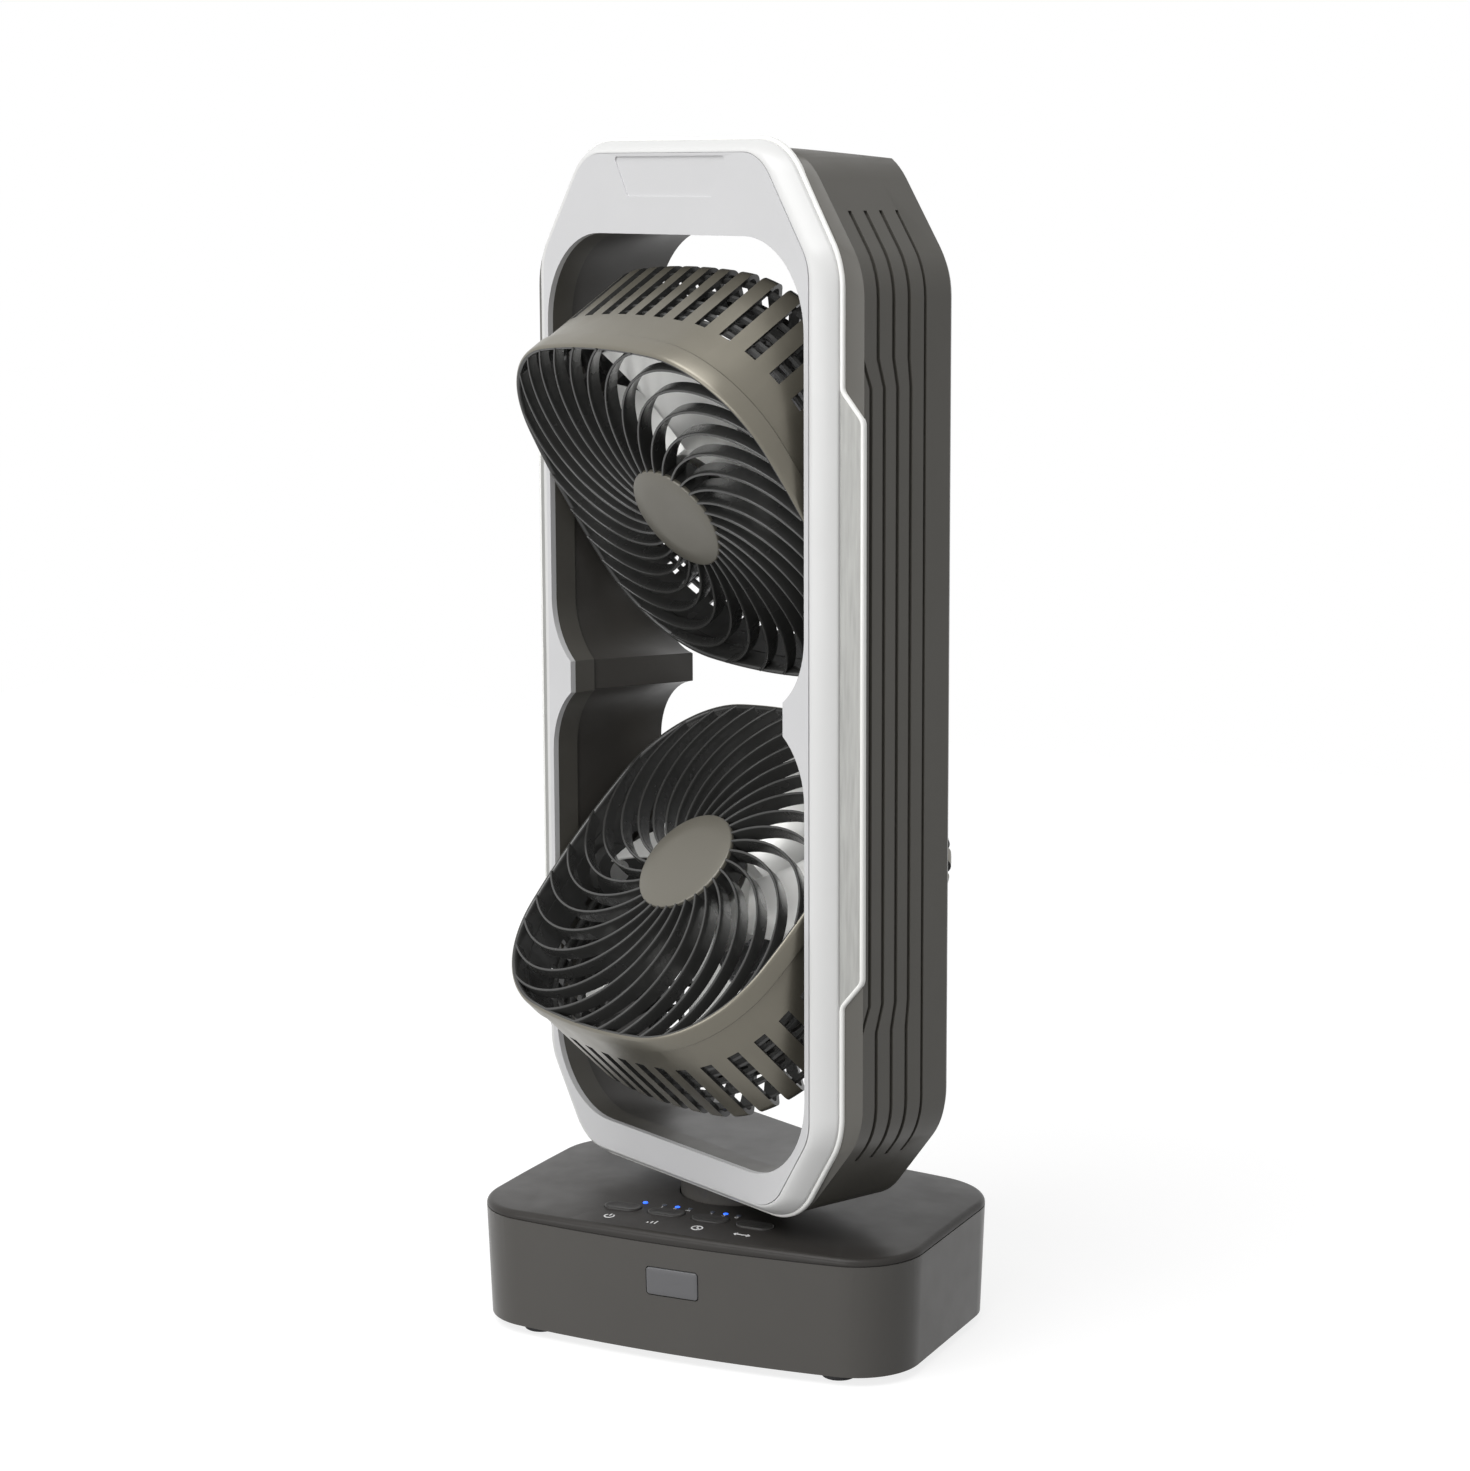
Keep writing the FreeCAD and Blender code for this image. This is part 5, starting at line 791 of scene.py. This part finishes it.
lip_profile = [(1.2, 18.95), (3.0, 18.95), (3.0, 27.6), (2.75, 28.6), (2.2, 29.2), (1.5, 29.4), (1.2, 29.37)]
band_profile = [(1.2, 29.35), (0.8, 29.2), (0.25, 28.5), (0.0, 27.4), (0.0, 19.6), (0.4, 19.1), (1.2, 18.95)]
hub_profile = [(24.3, 19.5), (27.3, 19.5), (27.3, 31.2), (24.3, 31.2)]
for name, tilt, height in heads:
    blades = in_head(vanes(vane_count, vane_steps), tilt, height)
    hub = in_head(turned(hub_profile, hub_stations), tilt, height)
    lip = in_head(rounded_square(lip_profile, rim_steps), tilt, height)
    band = in_head(rounded_square(band_profile, rim_steps), tilt, height)
    grille = skinned("vanes", [(blades, False, True), (hub[None], True, True), (lip[None], True, True)])
    placed(grille, name + "vanes", vane_black, name + "grille")
    rim = skinned("rim band", [(band[None], True, True)], rim_crease)
    placed(rim, name + "rim_band", shell_grey, name + "grille", stands_in=False)

# Caps: plain satin discs with a softly rounded edge, one to a head.
# Each is pressed into its grille's hub ring from the front.

cap_grey = moulded("cap grey", tone(106, 103, 94), rough=0.36, drift=0.02, grain=1e-5, metallic=0.25)
cap_profile = [(0.0, 22.5), (24.0, 22.5), (24.0, 31.2), (27.3, 31.2), (27.3, 32.5), (27.05, 32.95),
               (26.5, 33.2), (18.0, 33.25), (0.0, 33.3)]
cap_stations = 96
for name, tilt, height in heads:
    cap = in_head(turned(cap_profile, cap_stations), tilt, height)
    placed(skinned("cap", [(cap[None], True, False)]), name + "cap", cap_grey, name + "grille_cap")

# Studio: a pale matt floor that keeps the shadow, in a white surround.
# A large soft lamp hangs overhead and a low one fills from the front left.

floor_half = 1.6
floor_level = -0.0046
floor_grey = 0.26
floor_lift = 0.8
surround_light = 0.34
white = (1, 1, 1, 1)


def shown(tree, unseen, seen, socket):
    """Drives a strength by the kind of light ray: the seen value for rays that come straight from the camera,
    through clear stuff or off a gloss, the unseen value for all others."""
    path = tree.nodes.new("ShaderNodeLightPath")
    direct = tree.nodes.new("ShaderNodeMath")
    mirrored = tree.nodes.new("ShaderNodeMath")
    direct.operation = mirrored.operation = "MAXIMUM"
    level = dialled(tree.nodes.new("ShaderNodeMapRange"), {"To Min": unseen, "To Max": seen})
    tree.links.new(path.outputs["Is Camera Ray"], direct.inputs[0])
    tree.links.new(path.outputs["Is Transmission Ray"], direct.inputs[1])
    tree.links.new(direct.outputs["Value"], mirrored.inputs[0])
    tree.links.new(path.outputs["Is Glossy Ray"], mirrored.inputs[1])
    tree.links.new(mirrored.outputs["Value"], level.inputs["Value"])
    tree.links.new(level.outputs["Result"], socket)


floor_corners = [(-floor_half, -floor_half, floor_level), (floor_half, -floor_half, floor_level),
                 (floor_half, floor_half, floor_level), (-floor_half, floor_half, floor_level)]
floor_mesh = bpy.data.meshes.new("floor")
floor_mesh.from_pydata(floor_corners, [], [(0, 1, 2, 3)])
floor_paint = bpy.data.materials.new("pale floor")
floor_paint.use_nodes = True
matt = dialled(floor_paint.node_tree.nodes["Principled BSDF"], {
    "Base Color": (floor_grey, floor_grey, floor_grey, 1), "Roughness": 0.9, "Emission Color": white})
shown(floor_paint.node_tree, 0.0, floor_lift, matt.inputs["Emission Strength"])
floor_mesh.materials.append(floor_paint)
stood("floor", floor_mesh)

world = bpy.data.worlds.new("studio")
world.use_nodes = True
bpy.context.scene.world = world
sky = dialled(world.node_tree.nodes["Background"], {"Color": white})
shown(world.node_tree, surround_light, 1.0, sky.inputs["Strength"])


def soft_lamp(name, place, target, size, watts):
    """Oblong lamp at a place, turned to face its target."""
    lamp = bpy.data.lights.new(name, "AREA")
    lamp.shape = "RECTANGLE"
    lamp.size, lamp.size_y = size
    lamp.energy = watts
    holder = stood(name, lamp)
    holder.location = place
    holder.rotation_euler = (Vector(target) - Vector(place)).to_track_quat("-Z", "Y").to_euler()


soft_lamp("overhead", place=(-0.5, -1.7, 2.9), target=(0, 0, 0.3), size=(2.4, 2.2), watts=80)
soft_lamp("low fill", place=(-0.7, -2.3, 0.45), target=(0, 0, 0.1), size=(2.6, 0.9), watts=26)

# Camera: a long lens at the photograph's place, to the right of the fan's middle and a little above it,
# looking slightly down.

yaw = radians(25.5)
pitch = radians(9.61)
roll = radians(-0.25)
camera_place = (0.6884, -1.4419, 0.5588)
focal_pixels = 3355.5
picture_pixels = 1470
forward = Vector((-sin(yaw) * cos(pitch), cos(yaw) * cos(pitch), -sin(pitch)))
right = forward.cross(Vector((0, 0, 1))).normalized()
up = right.cross(forward)
right, up = right * cos(roll) + up * sin(roll), up * cos(roll) - right * sin(roll)
lens = bpy.data.cameras.new("camera")
lens.sensor_fit = "HORIZONTAL"
lens.sensor_width = 36.0
lens.lens = focal_pixels * lens.sensor_width / picture_pixels
camera = stood("camera", lens)
camera.matrix_world = Matrix.Translation(camera_place) @ Matrix((right, up, -forward)).transposed().to_4x4()
bpy.context.scene.camera = camera
bpy.context.scene.view_settings.view_transform = "Standard"
